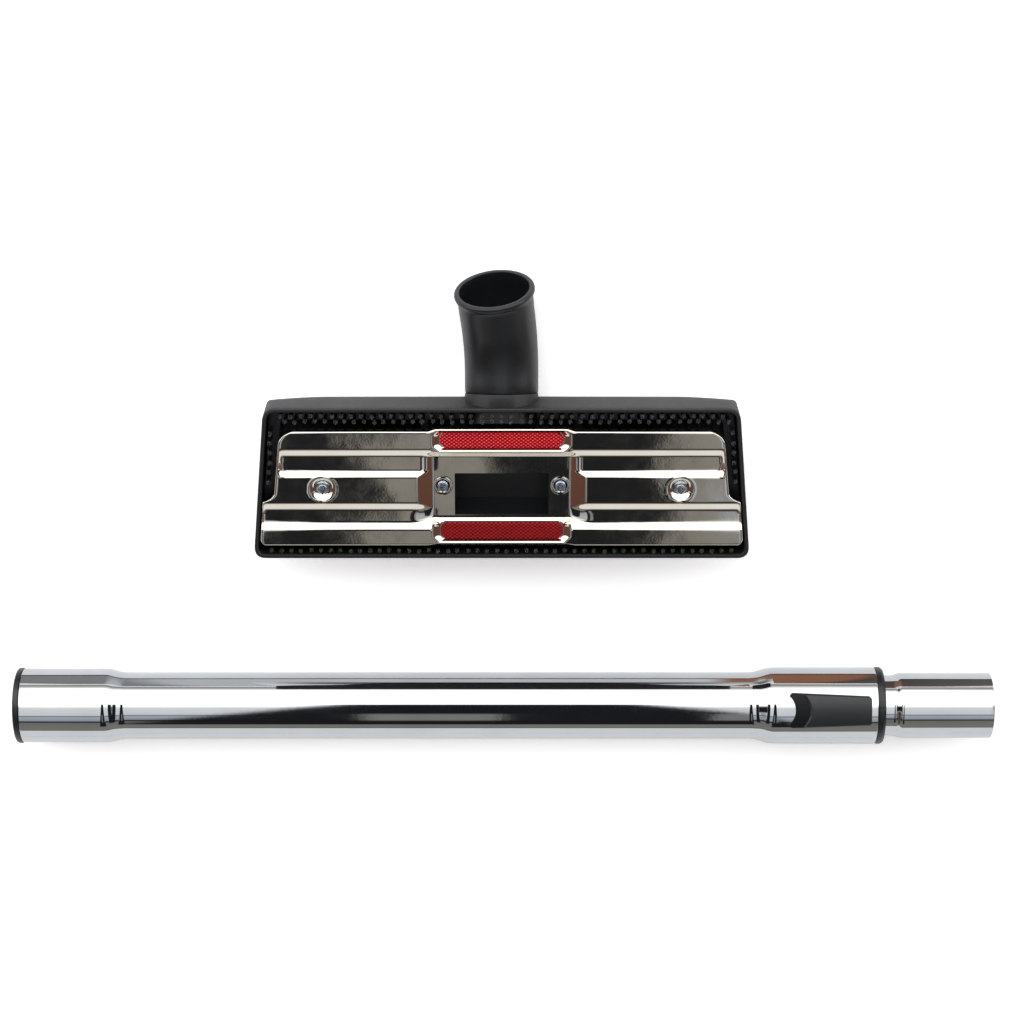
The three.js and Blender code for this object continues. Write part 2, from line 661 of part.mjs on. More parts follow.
function outerTube() {
  const out = [
    [X_SOCKET, SOCKET_OUT_R], [X_SOCKET_END, SOCKET_OUT_R], [X_TUBE, TUBE_R], [X_TUBE_END, TUBE_R],
    [X_COLLAR, COLLAR_R], [X_COLLAR_END, COLLAR_R]];
  const inside = [
    [X_COLLAR_END, COLLAR_BORE_R], [X_COLLAR + 1, COLLAR_BORE_R], [X_TUBE_END + 1, TUBE_BORE_R],
    [X_TUBE - 1, TUBE_BORE_R], [X_SOCKET_END - 1, SOCKET_BORE_R], [X_SOCKET, SOCKET_BORE_R]];
  const [x0, x1] = LATCH_WINDOW_X;
  const window = box(x0, x1, -LATCH_WINDOW_HALF, LATCH_WINDOW_HALF, 10, 30);
  return tube([...out, ...inside]).subtract(window.rotate([BUTTON_TURN_DEG, 0, 0]));
}

function socketSleeve() {
  const outer = SOCKET_BORE_R - GAP;
  const bore = outer - SLEEVE_WALL;
  return tube([
    [X_LIP, bore], [X_LIP, LIP_R - 0.6], [X_LIP + 1, LIP_R], [X_LIP + 2.6, LIP_R],
    [X_SOCKET - GAP, SOCKET_OUT_R], [X_SOCKET - GAP, outer], [X_SLEEVE_END, outer], [X_SLEEVE_END, bore]]);
}

function collarBush() {
  const outer = COLLAR_BORE_R - GAP - 0.05;
  const bore = INNER_R + GAP + 0.05;
  const face = X_COLLAR_END + GAP;
  const sleeve = tube([
    [X_COLLAR + 2, bore], [X_COLLAR + 2, outer], [face, outer], [face, BUSH_LIP_R - 0.3],
    [face + 1.1, BUSH_LIP_R], [X_BUSH_END - 1.4, BUSH_LIP_R], [X_BUSH_END, BUSH_LIP_R - 0.8],
    [X_BUSH_END, bore]]);
  const room = 0.5;
  const pawlWindow = box(
    PAWL_X[0] - room, PAWL_X[1] + room, -PAWL_HALF - room, PAWL_HALF + room, 10, 25);
  const springPocket = box(
    SPRING_X[0] - 1, SPRING_X[1] + 1, -SPRING_HALF - 1, SPRING_HALF + 1, SPRING_R - GAP, 25);
  const stemRoom = box(
    LATCH_WINDOW_X[0] - 1, LATCH_WINDOW_X[1] + 1, -STEM_HALF - 1.2, STEM_HALF + 1.2, STEM_LOW - 1, 25);
  return sleeve.subtract(pawlWindow.add(springPocket).add(stemRoom).rotate([BUTTON_TURN_DEG, 0, 0]));
}

function latchButton() {
  const [x0, x1] = BUTTON_X;
  const [left, right] = BUTTON_HALF;
  const corner = BUTTON_CORNER;
  const bite = 7;                // control point of the bitten end; the edge goes half as deep
  const shape = new THREE.Shape();
  shape.moveTo(x0 + corner, left);
  shape.lineTo(x1 - corner, right);
  shape.quadraticCurveTo(x1, right, x1, right - corner);
  shape.lineTo(x1, -right + corner);
  shape.quadraticCurveTo(x1, -right, x1 - corner, -right);
  shape.lineTo(x0 + corner, -left);
  shape.quadraticCurveTo(x0, -left, x0, -left + corner);
  shape.quadraticCurveTo(x0 + bite, 0, x0, left - corner);
  shape.quadraticCurveTo(x0, left, x0 + corner, left);
  shape.closePath();
  const crown = alongX(rod(BUTTON_TOP_R, x0 - 1, x1 + 1));
  const under = alongX(rod(COLLAR_R + GAP, x0 - 2, x1 + 2));
  const scoopR = 17;
  const scoop = new THREE.SphereGeometry(scoopR, 24, 16);
  scoop.translate(x0 + 1, 0, BUTTON_TOP_R + scoopR - 2);
  const pad = slab(shape, 12, 30).intersect(crown).subtract(under).subtract(solid(scoop));
  const stem = box(STEM_X[0], STEM_X[1], -STEM_HALF, STEM_HALF, STEM_LOW, 24);
  return pad.add(stem).rotate([BUTTON_TURN_DEG, 0, 0]);
}

function latchPawl() {
  return box(PAWL_X[0], PAWL_X[1], -PAWL_HALF, PAWL_HALF, PAWL_R[0], PAWL_R[1])
    .rotate([BUTTON_TURN_DEG, 0, 0]);
}

function latchSpring() {
  const [x0, x1] = SPRING_X;
  const middle = (x0 + x1) / 2;
  const top = SPRING_R + SPRING_THICK;
  const shape = new THREE.Shape();
  shape.moveTo(x0, SPRING_R);
  shape.quadraticCurveTo(middle, SPRING_R + SPRING_RISE, x1, SPRING_R);
  shape.lineTo(x1, top);
  shape.quadraticCurveTo(middle, top + SPRING_RISE, x0, top);
  shape.closePath();
  return prismY(shape, -SPRING_HALF, SPRING_HALF).rotate([BUTTON_TURN_DEG, 0, 0]);
}

function innerTube() {
  let shape = tube([
    [X_INNER_START, INNER_R], [X_FLARE, INNER_R], [X_TIP, TIP_R], [X_TIP_END, TIP_R],
    [X_TIP_END, TIP_BORE_R], [X_TIP + 0.5, TIP_BORE_R], [X_FLARE + 0.5, INNER_BORE_R],
    [X_INNER_START, INNER_BORE_R]]);
  const notchFloor = INNER_R - 0.5;
  for (let i = 0; i < NOTCH_COUNT; i += 1) {
    const x = PAWL_X[0] - 0.4 - i * NOTCH_PITCH;
    const notch = box(x, x + NOTCH_LENGTH, -NOTCH_HALF, NOTCH_HALF, notchFloor, 25);
    shape = shape.subtract(notch.rotate([BUTTON_TURN_DEG, 0, 0]));
  }
  return shape;
}

function glideBush() {
  const start = X_INNER_START + 1;
  const inner = INNER_R + GAP;
  const outer = TUBE_BORE_R - 0.25;
  return tube([[start, inner], [start, outer], [start + GLIDE_LENGTH, outer], [start + GLIDE_LENGTH, inner]]);
}

// ---- Assembly -----------------------------------------------------------------------------------
function floorTool() {
  const tool = new THREE.Group();
  tool.add(part('housing_shell', housingShell(), blackPlastic()));
  tool.add(part('sole_plate', solePlate(), nickel()));
  tool.add(part('lint_strip_rear', lintStrip(STRIP_REAR), redCloth()));
  tool.add(part('lint_strip_front', lintStrip(STRIP_FRONT), redCloth()));
  tool.add(part('suction_duct', suctionDuct(), blackPlastic()));
  for (const [label, side] of [['left', -1], ['right', 1]]) {
    const big = part(`plate_screw_${label}`, screw(3.1, 1.8, 1.5, 11), zinc());
    big.position.set(side * BIG_SCREW[0], BIG_SCREW[1], LAND_Z - DIMPLE_DEPTH + GAP);
    tool.add(big);
    const small = part(`duct_screw_${label}`, screw(SMALL_HEAD_R, 2, 1.2, 7), zinc());
    small.position.set(side * SMALL_SCREW[0], SMALL_SCREW[1], PANEL_Z + GAP);
    tool.add(small);
  }
  tool.add(part('brush_frame', brushFrame(), blackPlastic()));
  tool.add(...bristleRows());
  tool.add(part('pedal', pedal(), blackPlastic()));
  const shaft = alongX(rod(SHAFT_R, -BRIDGE_X - 2.5, BRIDGE_X + 2.5, 16));
  const shaftMesh = part('pedal_shaft', shaft, zinc());
  shaftMesh.position.set(0, PEDAL_AXIS_Y, PEDAL_AXIS_Z);
  tool.add(shaftMesh);
  tool.add(part('pedal_lever_left', pedalLever(-BRIDGE_X), zinc()));
  tool.add(part('pedal_lever_right', pedalLever(BRIDGE_X), zinc()));
  return tool;
}

function neck() {
  const axis = new THREE.Group();
  axis.position.set(...SEAM);
  axis.rotation.x = THREE.MathUtils.degToRad(-90 - NECK_DROP_DEG);
  const turn = new THREE.Group();
  turn.rotation.z = THREE.MathUtils.degToRad(-NECK_SWIVEL_DEG);
  turn.add(part('neck_elbow', neckElbow(), blackPlastic()));
  turn.add(part('neck_seal_ring', neckSealRing(), felt()));
  axis.add(turn);
  return axis;
}

function wand() {
  const group = new THREE.Group();
  group.position.set(0, WAND_Y, WAND_Z);
  group.add(part('outer_tube', outerTube(), chrome()));
  group.add(part('socket_sleeve', socketSleeve(), blackPlastic()));
  group.add(part('collar_bush', collarBush(), blackPlastic()));
  group.add(part('latch_button', latchButton(), blackPlastic()));
  group.add(part('latch_pawl', latchPawl(), zinc()));
  group.add(part('latch_spring', latchSpring(), zinc()));
  group.add(part('inner_tube', innerTube(), chrome()));
  group.add(part('glide_bush', glideBush(), blackPlastic()));
  return group;
}

const surfaceCleaner = new THREE.Group();
surfaceCleaner.add(floorTool(), neck(), wand());

export default surfaceCleaner;
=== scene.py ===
# Studio scene of the floor tool and its telescopic wand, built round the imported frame. Metres.
import json
import math
import random

import bmesh
import bpy
import numpy as np
from mathutils import Matrix, Vector


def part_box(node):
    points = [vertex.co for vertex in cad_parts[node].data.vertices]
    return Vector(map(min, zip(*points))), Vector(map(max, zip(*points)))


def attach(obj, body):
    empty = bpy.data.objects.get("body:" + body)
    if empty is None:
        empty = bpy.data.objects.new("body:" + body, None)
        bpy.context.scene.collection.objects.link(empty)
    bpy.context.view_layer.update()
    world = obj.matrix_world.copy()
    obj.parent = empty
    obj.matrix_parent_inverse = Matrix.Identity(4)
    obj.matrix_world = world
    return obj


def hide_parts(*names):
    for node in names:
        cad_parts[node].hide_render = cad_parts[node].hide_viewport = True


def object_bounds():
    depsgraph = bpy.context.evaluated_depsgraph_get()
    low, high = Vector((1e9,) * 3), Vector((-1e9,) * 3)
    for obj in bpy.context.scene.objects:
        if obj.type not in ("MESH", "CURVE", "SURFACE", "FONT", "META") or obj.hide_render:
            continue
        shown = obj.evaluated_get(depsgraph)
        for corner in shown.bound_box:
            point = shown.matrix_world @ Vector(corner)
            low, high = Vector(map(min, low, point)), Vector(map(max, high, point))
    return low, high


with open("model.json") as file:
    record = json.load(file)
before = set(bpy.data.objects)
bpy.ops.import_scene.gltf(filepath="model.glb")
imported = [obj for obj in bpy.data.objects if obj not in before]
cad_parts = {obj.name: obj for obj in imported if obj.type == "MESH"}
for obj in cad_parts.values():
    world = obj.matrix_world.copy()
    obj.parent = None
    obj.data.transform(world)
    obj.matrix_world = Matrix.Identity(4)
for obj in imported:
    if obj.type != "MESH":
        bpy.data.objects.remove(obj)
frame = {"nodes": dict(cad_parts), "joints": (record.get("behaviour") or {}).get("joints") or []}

CAD_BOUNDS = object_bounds()
MM = 0.001
JOINTS = {joint["name"]: joint for joint in frame["joints"]}
RANDOM_SEED = 11


# ---- Mesh helpers ----
def new_object(name, verts, faces, material, sharp_deg=35.0):
    """One smooth-shaded mesh object, with edges sharper than sharp_deg kept crisp."""
    mesh = bpy.data.meshes.new(name)
    mesh.from_pydata([tuple(v) for v in verts], [], faces)
    work = bmesh.new()
    work.from_mesh(mesh)
    bmesh.ops.remove_doubles(work, verts=work.verts, dist=1e-7)
    bmesh.ops.recalc_face_normals(work, faces=work.faces)
    work.to_mesh(mesh)
    work.free()
    obj = bpy.data.objects.new(name, mesh)
    bpy.context.scene.collection.objects.link(obj)
    mesh.materials.append(material)
    shade(obj, sharp_deg)
    return obj


def shade(obj, sharp_deg):
    obj.data.shade_smooth()
    obj.data.set_sharp_from_angle(angle=math.radians(sharp_deg))


def boolean(obj, other, operation):
    """Joins or cuts obj with other, which is then deleted."""
    modifier = obj.modifiers.new("cut", "BOOLEAN")
    modifier.operation = operation
    modifier.solver = "EXACT"
    modifier.object = other
    apply_modifiers(obj)
    data = other.data
    bpy.data.objects.remove(other)
    bpy.data.meshes.remove(data)


def apply_modifiers(obj):
    depsgraph = bpy.context.evaluated_depsgraph_get()
    done = bpy.data.meshes.new_from_object(obj.evaluated_get(depsgraph))
    old = obj.data
    obj.modifiers.clear()
    obj.data = done
    bpy.data.meshes.remove(old)


def box_mesh(name, low, high, material):
    verts = [(x, y, z) for x in (low[0], high[0]) for y in (low[1], high[1]) for z in (low[2], high[2])]
    faces = [(0, 1, 3, 2), (4, 6, 7, 5), (0, 4, 5, 1), (2, 3, 7, 6), (0, 2, 6, 4), (1, 5, 7, 3)]
    return new_object(name, verts, faces, material)


def bezier(p0, p1, p2, p3, count=14):
    t = np.linspace(0, 1, count)[:, None]
    p0, p1, p2, p3 = (np.array(p, float) for p in (p0, p1, p2, p3))
    return (1 - t) ** 3 * p0 + 3 * (1 - t) ** 2 * t * p1 + 3 * (1 - t) * t ** 2 * p2 + t ** 3 * p3


def towards(here, other, distance):
    """The point at a distance from here on the way to other."""
    step = other - here
    return here + step / np.linalg.norm(step) * distance


def rounded_corner(before, here, after, radius, count):
    """Points of a curve that cuts a corner off, from radius before it to radius after it."""
    start, end = towards(here, before, radius), towards(here, after, radius)
    return [(1 - t) ** 2 * start + 2 * (1 - t) * t * here + t ** 2 * end for t in np.linspace(0, 1, count)]


def filleted(corners, count):
    """A closed outline through (a, b, radius) corners, each rounded by its radius."""
    points = []
    places = [np.array(corner[:2], float) for corner in corners]
    for i, here in enumerate(places):
        radius = corners[i][2]
        if radius > 0:
            points += rounded_corner(places[i - 1], here, places[(i + 1) % len(places)], radius, count)
        else:
            points.append(here)
    return points


def ring_faces(rings, sides, closed):
    faces = []
    for i in range(rings if closed else rings - 1):
        a, b = i * sides, ((i + 1) % rings) * sides
        for j in range(sides):
            k = (j + 1) % sides
            faces.append((a + j, a + k, b + k, b + j))
    return faces


def grid_faces(rows, cols):
    return [
        (i * cols + j, i * cols + j + 1, (i + 1) * cols + j + 1, (i + 1) * cols + j)
        for i in range(rows - 1) for j in range(cols - 1)]


def grid_border(rows, cols):
    """The outer points of a grid, in order."""
    ring = [j for j in range(cols)]
    ring += [i * cols + cols - 1 for i in range(1, rows)]
    ring += [(rows - 1) * cols + j for j in range(cols - 2, -1, -1)]
    ring += [i * cols for i in range(rows - 2, 0, -1)]
    return ring


def swept_rings(name, stations, material, sides, sharp_deg):
    """Rings of (centre, across, up, radius), joined in a closed loop."""
    verts = []
    for centre, across, up, radius in stations:
        for j in range(sides):
            angle = 2 * math.pi * j / sides
            verts.append(centre + across * (radius * math.cos(angle)) + up * (radius * math.sin(angle)))
    return new_object(name, verts, ring_faces(len(stations), sides, True), material, sharp_deg)


def turned(name, outline, origin, axis, material, sides=128, sharp_deg=35.0):
    """A closed outline of (along, radius) turned about an axis."""
    axis = Vector(axis).normalized()
    across = axis.orthogonal().normalized()
    up = axis.cross(across)
    stations = [(Vector(origin) + axis * along, across, up, radius) for along, radius in outline]
    return swept_rings(name, stations, material, sides, sharp_deg)


def finish_piece(obj, body, slot, *nodes):
    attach(obj, body)
    if nodes:
        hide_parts(*nodes)
    return obj


# ---- Materials ----
class Graph:
    """A node tree with a few chained nodes."""

    def __init__(self, tree):
        self.tree = tree
        self.nodes = tree.nodes

    def link(self, source, target):
        self.tree.links.new(source, target)

    def math(self, operation, a, b=0.0):
        node = self.nodes.new("ShaderNodeMath")
        node.operation = operation
        for socket, value in zip(node.inputs, (a, b)):
            if isinstance(value, (int, float)):
                socket.default_value = value
            else:
                self.link(value, socket)
        return node.outputs[0]

    def mix(self, factor, colour_a, colour_b):
        node = self.nodes.new("ShaderNodeMix")
        node.data_type = "RGBA"
        self.link(factor, node.inputs["Factor"])
        for socket, colour in ((node.inputs["A"], colour_a), (node.inputs["B"], colour_b)):
            if isinstance(colour, tuple):
                socket.default_value = (*colour, 1)
            else:
                self.link(colour, socket)
        return node.outputs["Result"]

    def ramp(self, factor, stops):
        """A colour ramp through (position, colour) stops."""
        node = self.nodes.new("ShaderNodeValToRGB")
        self.link(factor, node.inputs["Fac"])
        elements = node.color_ramp.elements
        elements.remove(elements[-1])
        for k, (at, colour) in enumerate(stops):
            element = elements[0] if k == 0 else elements.new(at)
            element.position = at
            element.color = (*colour, 1)
        return node.outputs["Color"]


class Shader(Graph):
    """A Principled material. All patterns run in object space."""

    def __init__(self, name):
        self.material = bpy.data.materials.new(name)
        self.material.use_nodes = True
        super().__init__(self.material.node_tree)
        self.principled = self.nodes["Principled BSDF"]
        self.place = self.nodes.new("ShaderNodeTexCoord").outputs["Object"]

    def set(self, **sockets):
        for name, value in sockets.items():
            self.principled.inputs[name.replace("_", " ")].default_value = value

    def noise(self, scale, detail=3.0, roughness=0.5, stretch=(1, 1, 1)):
        mapping = self.nodes.new("ShaderNodeMapping")
        mapping.inputs["Scale"].default_value = stretch
        self.link(self.place, mapping.inputs["Vector"])
        node = self.nodes.new("ShaderNodeTexNoise")
        node.inputs["Scale"].default_value = scale
        node.inputs["Detail"].default_value = detail
        node.inputs["Roughness"].default_value = roughness
        self.link(mapping.outputs["Vector"], node.inputs["Vector"])
        return node.outputs["Fac"]

    def remap(self, value, low, high, to_low=0.0, to_high=1.0):
        node = self.nodes.new("ShaderNodeMapRange")
        for name, number in (("From Min", low), ("From Max", high), ("To Min", to_low), ("To Max", to_high)):
            node.inputs[name].default_value = number
        self.link(value, node.inputs["Value"])
        return node.outputs["Result"]

    def bump(self, height, distance, strength=1.0, over=None):
        node = self.nodes.new("ShaderNodeBump")
        node.inputs["Distance"].default_value = distance
        node.inputs["Strength"].default_value = strength
        self.link(height, node.inputs["Height"])
        if over is not None:
            self.link(over, node.inputs["Normal"])
        return node.outputs["Normal"]

    def colour(self, socket):
        self.link(socket, self.principled.inputs["Base Color"])

    def roughness(self, socket):
        self.link(socket, self.principled.inputs["Roughness"])

    def normal(self, socket):
        self.link(socket, self.principled.inputs["Normal"])


def plastic(name, base, worn, rough_low, rough_high, grain=0.00003):
    """Moulded plastic: fine spark-eroded grain, faint flow marks and uneven gloss."""
    s = Shader(name)
    patches = s.noise(35, 4, 0.6)
    s.colour(s.mix(s.remap(patches, 0.2, 0.8), base, worn))
    s.roughness(s.remap(s.noise(50, 6, 0.7), 0.2, 0.8, rough_low, rough_high))
    grain_normal = s.bump(s.noise(2600, 2, 0.6), grain, 0.6)
    s.normal(s.bump(s.noise(180, 3, 0.5), grain * 1.5, 0.35, grain_normal))
    s.set(Specular_IOR_Level=0.5)
    return s.material


def plated(name, base, tint, rough_low, rough_high, wave, wave_scale, stretch, peel_scale, peel):
    """Bright plating on steel: faint waviness, fine orange peel, light wiping marks and a little haze."""
    s = Shader(name)
    s.colour(s.mix(s.remap(s.noise(45, 3), 0.35, 0.7), base, tint))
    haze = s.noise(90, 6, 0.7, stretch)
    s.roughness(s.remap(haze, 0.35, 0.75, rough_low, rough_high))
    s.set(Metallic=1.0)
    waves = s.bump(s.noise(wave_scale, 2, 0.4, stretch), wave, 0.5)
    s.normal(s.bump(s.noise(peel_scale, 2, 0.5), peel, 1.0, waves))
    return s.material


def zinc_plate(name, base, tint, rough_low, rough_high):
    """Blue-passivated zinc with a fine crystalline spangle."""
    s = Shader(name)
    s.colour(s.mix(s.remap(s.noise(700, 3), 0.4, 0.65), base, tint))
    s.roughness(s.remap(s.noise(1500, 3), 0.3, 0.7, rough_low, rough_high))
    s.set(Metallic=1.0)
    s.normal(s.bump(s.noise(3000, 2), 0.00002, 0.5))
    return s.material


WEAVE_PITCH = (2.5 * MM, 1.9 * MM)


def woven_red(name, base, gap_shade, highlight):
    """Coarse twill of red yarn: two crossing families of raised yarns, with fibre noise on top, painted shade
    in the hollows between yarns and a painted highlight on the raised tops.
    """
    s = Shader(name)
    split = s.nodes.new("ShaderNodeSeparateXYZ")
    s.link(s.place, split.inputs["Vector"])
    wave_a = s.math("SINE", s.math("MULTIPLY", split.outputs["X"], 2 * math.pi / WEAVE_PITCH[0]))
    wave_b = s.math("SINE", s.math("MULTIPLY", split.outputs["Y"], 2 * math.pi / WEAVE_PITCH[1]))
    weave = s.math("MULTIPLY", wave_a, wave_b)
    fibre = s.noise(2400, 4, 0.7)
    height = s.math("ADD", s.remap(weave, -1, 1, 0, 1), s.math("MULTIPLY", fibre, 0.5))
    # Painted shade: the hollows of the weave take the darker colour; the highest yarn tops are painted with a
    # highlight colour.
    body = s.mix(s.remap(weave, -0.6, 0.3), gap_shade, base)
    s.colour(s.mix(s.remap(height, 1.0, 1.3), body, highlight))
    s.roughness(s.remap(fibre, 0.3, 0.7, 0.62, 0.9))
    s.normal(s.bump(height, 0.00025, 0.7))
    s.set(Sheen_Weight=0.05, Sheen_Roughness=0.3, Sheen_Tint=(1.0, 0.1, 0.1, 1.0), Specular_IOR_Level=0.2)
    return s.material


def nylon():
    """Black filament, painted paler towards the cut tips as a painted glint, varied in patches."""
    s = Shader("nylon_bristle")
    split = s.nodes.new("ShaderNodeSeparateXYZ")
    s.link(s.place, split.inputs["Vector"])
    tip = s.remap(split.outputs["Z"], 44.0 * MM, 46.3 * MM)
    # Painted highlight: the top of each filament is lightened to stand in for the glints where the tips catch
    # the lamp.
    tip_glint = s.math("MULTIPLY", s.math("POWER", tip, 2.0), s.remap(s.noise(700, 2), 0.35, 0.65, 0.4, 1.0))
    s.colour(s.mix(tip_glint, (0.004, 0.004, 0.005), (0.15, 0.155, 0.16)))
    s.roughness(s.remap(s.noise(2500, 2), 0.3, 0.7, 0.25, 0.45))
    return s.material


def felt():
    s = Shader("grey_felt")
    s.colour(s.mix(s.noise(1200, 5, 0.7), (0.02, 0.02, 0.02), (0.06, 0.06, 0.06)))
    s.roughness(s.remap(s.noise(1800, 3), 0.3, 0.7, 0.85, 1.0))
    s.normal(s.bump(s.noise(2200, 4), 0.0002, 0.8))
    return s.material


def dulled(material, level):
    """The same finish with a weaker shine."""
    material.node_tree.nodes["Principled BSDF"].inputs["Specular IOR Level"].default_value = level
    return material


BLACK = plastic(
    "satin_black_plastic", (0.0035, 0.0045, 0.0055), (0.006, 0.0075, 0.009), 0.30, 0.40, 0.00002)
SHELL_BLACK = plastic(
    "shell_black_plastic", (0.006, 0.0065, 0.007), (0.009, 0.0098, 0.0105), 0.40, 0.50, 0.00003)
BUTTON_BLACK = plastic(
    "button_black_plastic", (0.006, 0.0075, 0.009), (0.009, 0.011, 0.013), 0.34, 0.46, 0.00002)
# Painted shade: a darker, duller copy of the button plastic for the hollow of the thumb scoop.
SCOOP_SHADE = plastic(
    "button_scoop_painted_shade", (0.002, 0.0025, 0.003), (0.003, 0.0035, 0.004), 0.45, 0.60, 0.00001)
dulled(SCOOP_SHADE, 0.2)
NICKEL = plated(
    "bright_nickel", (0.74, 0.70, 0.63), (0.68, 0.63, 0.56), 0.03, 0.08,
    0.00008, 60, (1, 1, 1), 800, 0.0000035)
CHROME = plated(
    "bright_chrome", (0.56, 0.58, 0.60), (0.53, 0.55, 0.57), 0.02, 0.06,
    0.00004, 45, (0.25, 1, 1), 400, 0.000002)
ZINC = zinc_plate("zinc_plate", (0.34, 0.40, 0.48), (0.50, 0.54, 0.58), 0.16, 0.34)
BRIGHT_ZINC = zinc_plate("bright_zinc", (0.80, 0.86, 0.92), (0.92, 0.94, 0.96), 0.45, 0.60)
# The front pad is a darker copy of the same weave as the rear pad: painted shade.
RED_REAR = woven_red("red_weave_rear", (0.52, 0.006, 0.013), (0.13, 0.001, 0.003), (0.95, 0.17, 0.19))
RED_FRONT = woven_red("red_weave_front", (0.25, 0.002, 0.004), (0.08, 0.0005, 0.001), (0.36, 0.015, 0.02))
NYLON = nylon()
FELT = felt()


# ---- Housing ----
WALL = 2.2 * MM
RIM_CORNER = 7 * MM
REAR_NARROWER = 7.6 * MM          # how much less the half width is at the rear than at the front
HUMP_HALF = 52 * MM
# How far in from the wall each ring of the cover lies, in mm: close together where the cover turns up.
SHELL_INSETS = (
    0, 0.04, 0.12, 0.3, 0.6, 1.0, 1.6, 2.4, 3.4, 4.8, 6.6, 8.8, 11.5, 15, 19, 23.5, 28.5, 34, 38.5)
SHELL_LIP = 0.9 * MM              # rounding of the rim
PEDAL_ROOM = 0.6 * MM             # clearance round the pedal
PEDAL_WALL = 2 * MM
STUB_ROOT = -17 * MM              # where the stub starts, inside the cover
STUB_RADIUS = 20 * MM
STUB_BORE = 18.4 * MM
SPIGOT_LENGTH = 7.6 * MM
STUB_END = -1.4 * MM              # the visible joint, measured along the neck from the swivel's origin


class Rim:
    """The skirt's outline at the rim, and the lower face of the cover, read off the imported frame."""

    def __init__(self):
        low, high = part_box("housing_shell")
        self.top = high.z
        self.front = low.y
        self.rear = JOINTS["neck_swivel"]["pos_m"][1] - 3.6 * MM
        self.front_half = high.x + 0.6 * MM
        self.rear_half = self.front_half - REAR_NARROWER

    def half(self, y):
        share = (y - self.front) / (self.rear - self.front)
        return self.front_half + (self.rear_half - self.front_half) * share

    def outline(self, inset, long_count=84, short_count=26, corner_count=10):
        """Points round the rim, the same number at every inset, anticlockwise from the front left."""
        front, rear = self.front + inset, self.rear - inset
        radius = max(RIM_CORNER - inset, 1.2 * MM)
        corners = [
            np.array([-self.half(front) + inset, front]), np.array([self.half(front) - inset, front]),
            np.array([self.half(rear) - inset, rear]), np.array([-self.half(rear) + inset, rear])]
        points = []
        for i, here in enumerate(corners):
            following = corners[(i + 1) % 4]
            points += rounded_corner(corners[i - 1], here, following, radius, corner_count)
            end, stop = points[-1], towards(following, here, radius)
            count = long_count if i % 2 == 0 else short_count
            for t in np.linspace(0, 1, count + 2)[1:-1]:
                points.append(end + (stop - end) * t)
        return np.array(points)

    def cover_z(self, x, y):
        """Height of the cover's outer face: a flat hump that rises to the ends and to both walls."""
        end = self.front_half + 1 * MM
        rise = bezier((HUMP_HALF, 0), (72 * MM, 0), (82 * MM, 17 * MM), (108 * MM, 20 * MM), 24)
        turn = bezier((108 * MM, 20 * MM), (126 * MM, 21.4 * MM), (132.5 * MM, 23 * MM), (end, 28 * MM), 10)
        from_front = np.concatenate([rise, turn[1:]])
        across = np.interp(np.abs(x), from_front[:, 0], from_front[:, 1], left=0)
        rear = bezier((22 * MM, 0), (30 * MM, 0), (self.rear - 2 * MM, 14 * MM), (self.rear, 27 * MM), 24)
        front = bezier((-self.front, 27 * MM), (-self.front, 12 * MM), (39 * MM, 0), (29 * MM, 0), 24)[::-1]
        to_rear = np.interp(y, rear[:, 0], rear[:, 1], left=0)
        along = np.where(y > 0, to_rear, np.interp(-y, front[:, 0], front[:, 1], left=0))
        corner = np.clip((np.abs(x) - 96 * MM) / (32 * MM), 0, 1) * np.clip((y - 37 * MM) / (7 * MM), 0, 1)
        blend = 2.5 * MM
        higher = (across + along + np.sqrt((across - along) ** 2 + blend ** 2) - blend) / 2
        return higher + 7 * MM * corner ** 1.5


def shell_surface(rim, inset, lift, insets):
    """Rings from the wall's lower edge to the middle of the cover, at one wall face."""
    rings = []
    for step in insets:
        outline = rim.outline(inset + step)
        z = rim.cover_z(outline[:, 0], outline[:, 1]) + lift
        rings.append(np.column_stack([outline, z]))
    return rings


def shell_mesh(rim):
    """The moulded cover as one closed skin: rim, outer wall and cover, then inner wall and cover."""
    insets = [d * MM for d in SHELL_INSETS]
    outer = shell_surface(rim, 0, 0, insets)
    inner = shell_surface(rim, WALL, WALL, insets)
    lip = SHELL_LIP
    rounded = []
    for angle in np.linspace(0, math.pi / 2, 6):
        outline = rim.outline(lip * (1 - math.cos(angle)))
        z = rim.top - lip + lip * math.sin(angle)
        rounded.append(np.column_stack([outline, np.full(len(outline), z)]))
    inside_lip = rim.outline(WALL)
    inside_top = np.column_stack([rim.outline(WALL - 0.3 * MM), np.full(len(inside_lip), rim.top)])
    inside_low = np.column_stack([inside_lip, np.full(len(inside_lip), rim.top - 0.4 * MM)])
    walls = []
    for share in (0.25, 0.5, 0.75):
        wall = outer[0].copy()
        wall[:, 2] += (rim.top - lip - wall[:, 2]) * share
        walls.append(wall)
    rings = outer[::-1] + walls + rounded + [inside_top, inside_low] + inner
    count = len(outer[0])
    verts = np.concatenate(rings)
    faces = ring_faces(len(rings), count, False)
    faces += middle_faces(0, count, False)
    faces += middle_faces((len(rings) - 1) * count, count, True)
    return new_object("housing", verts, faces, SHELL_BLACK, 28)


def middle_faces(start, count, flip):
    """Closes a long flat ring by quads from its front run to its rear run."""
    faces = []
    for i in range(count // 2 - 1):
        a, b = start + i, start + i + 1
        c, d = start + count - 2 - i, start + count - 1 - i
        face = (a, b, c, d)
        faces.append(face[::-1] if flip else face)
    return faces


def neck_axis():
    joint = JOINTS["neck_swivel"]
    axis = Vector(joint["axis"]).normalized()
    return Vector(joint["pos_m"]), axis


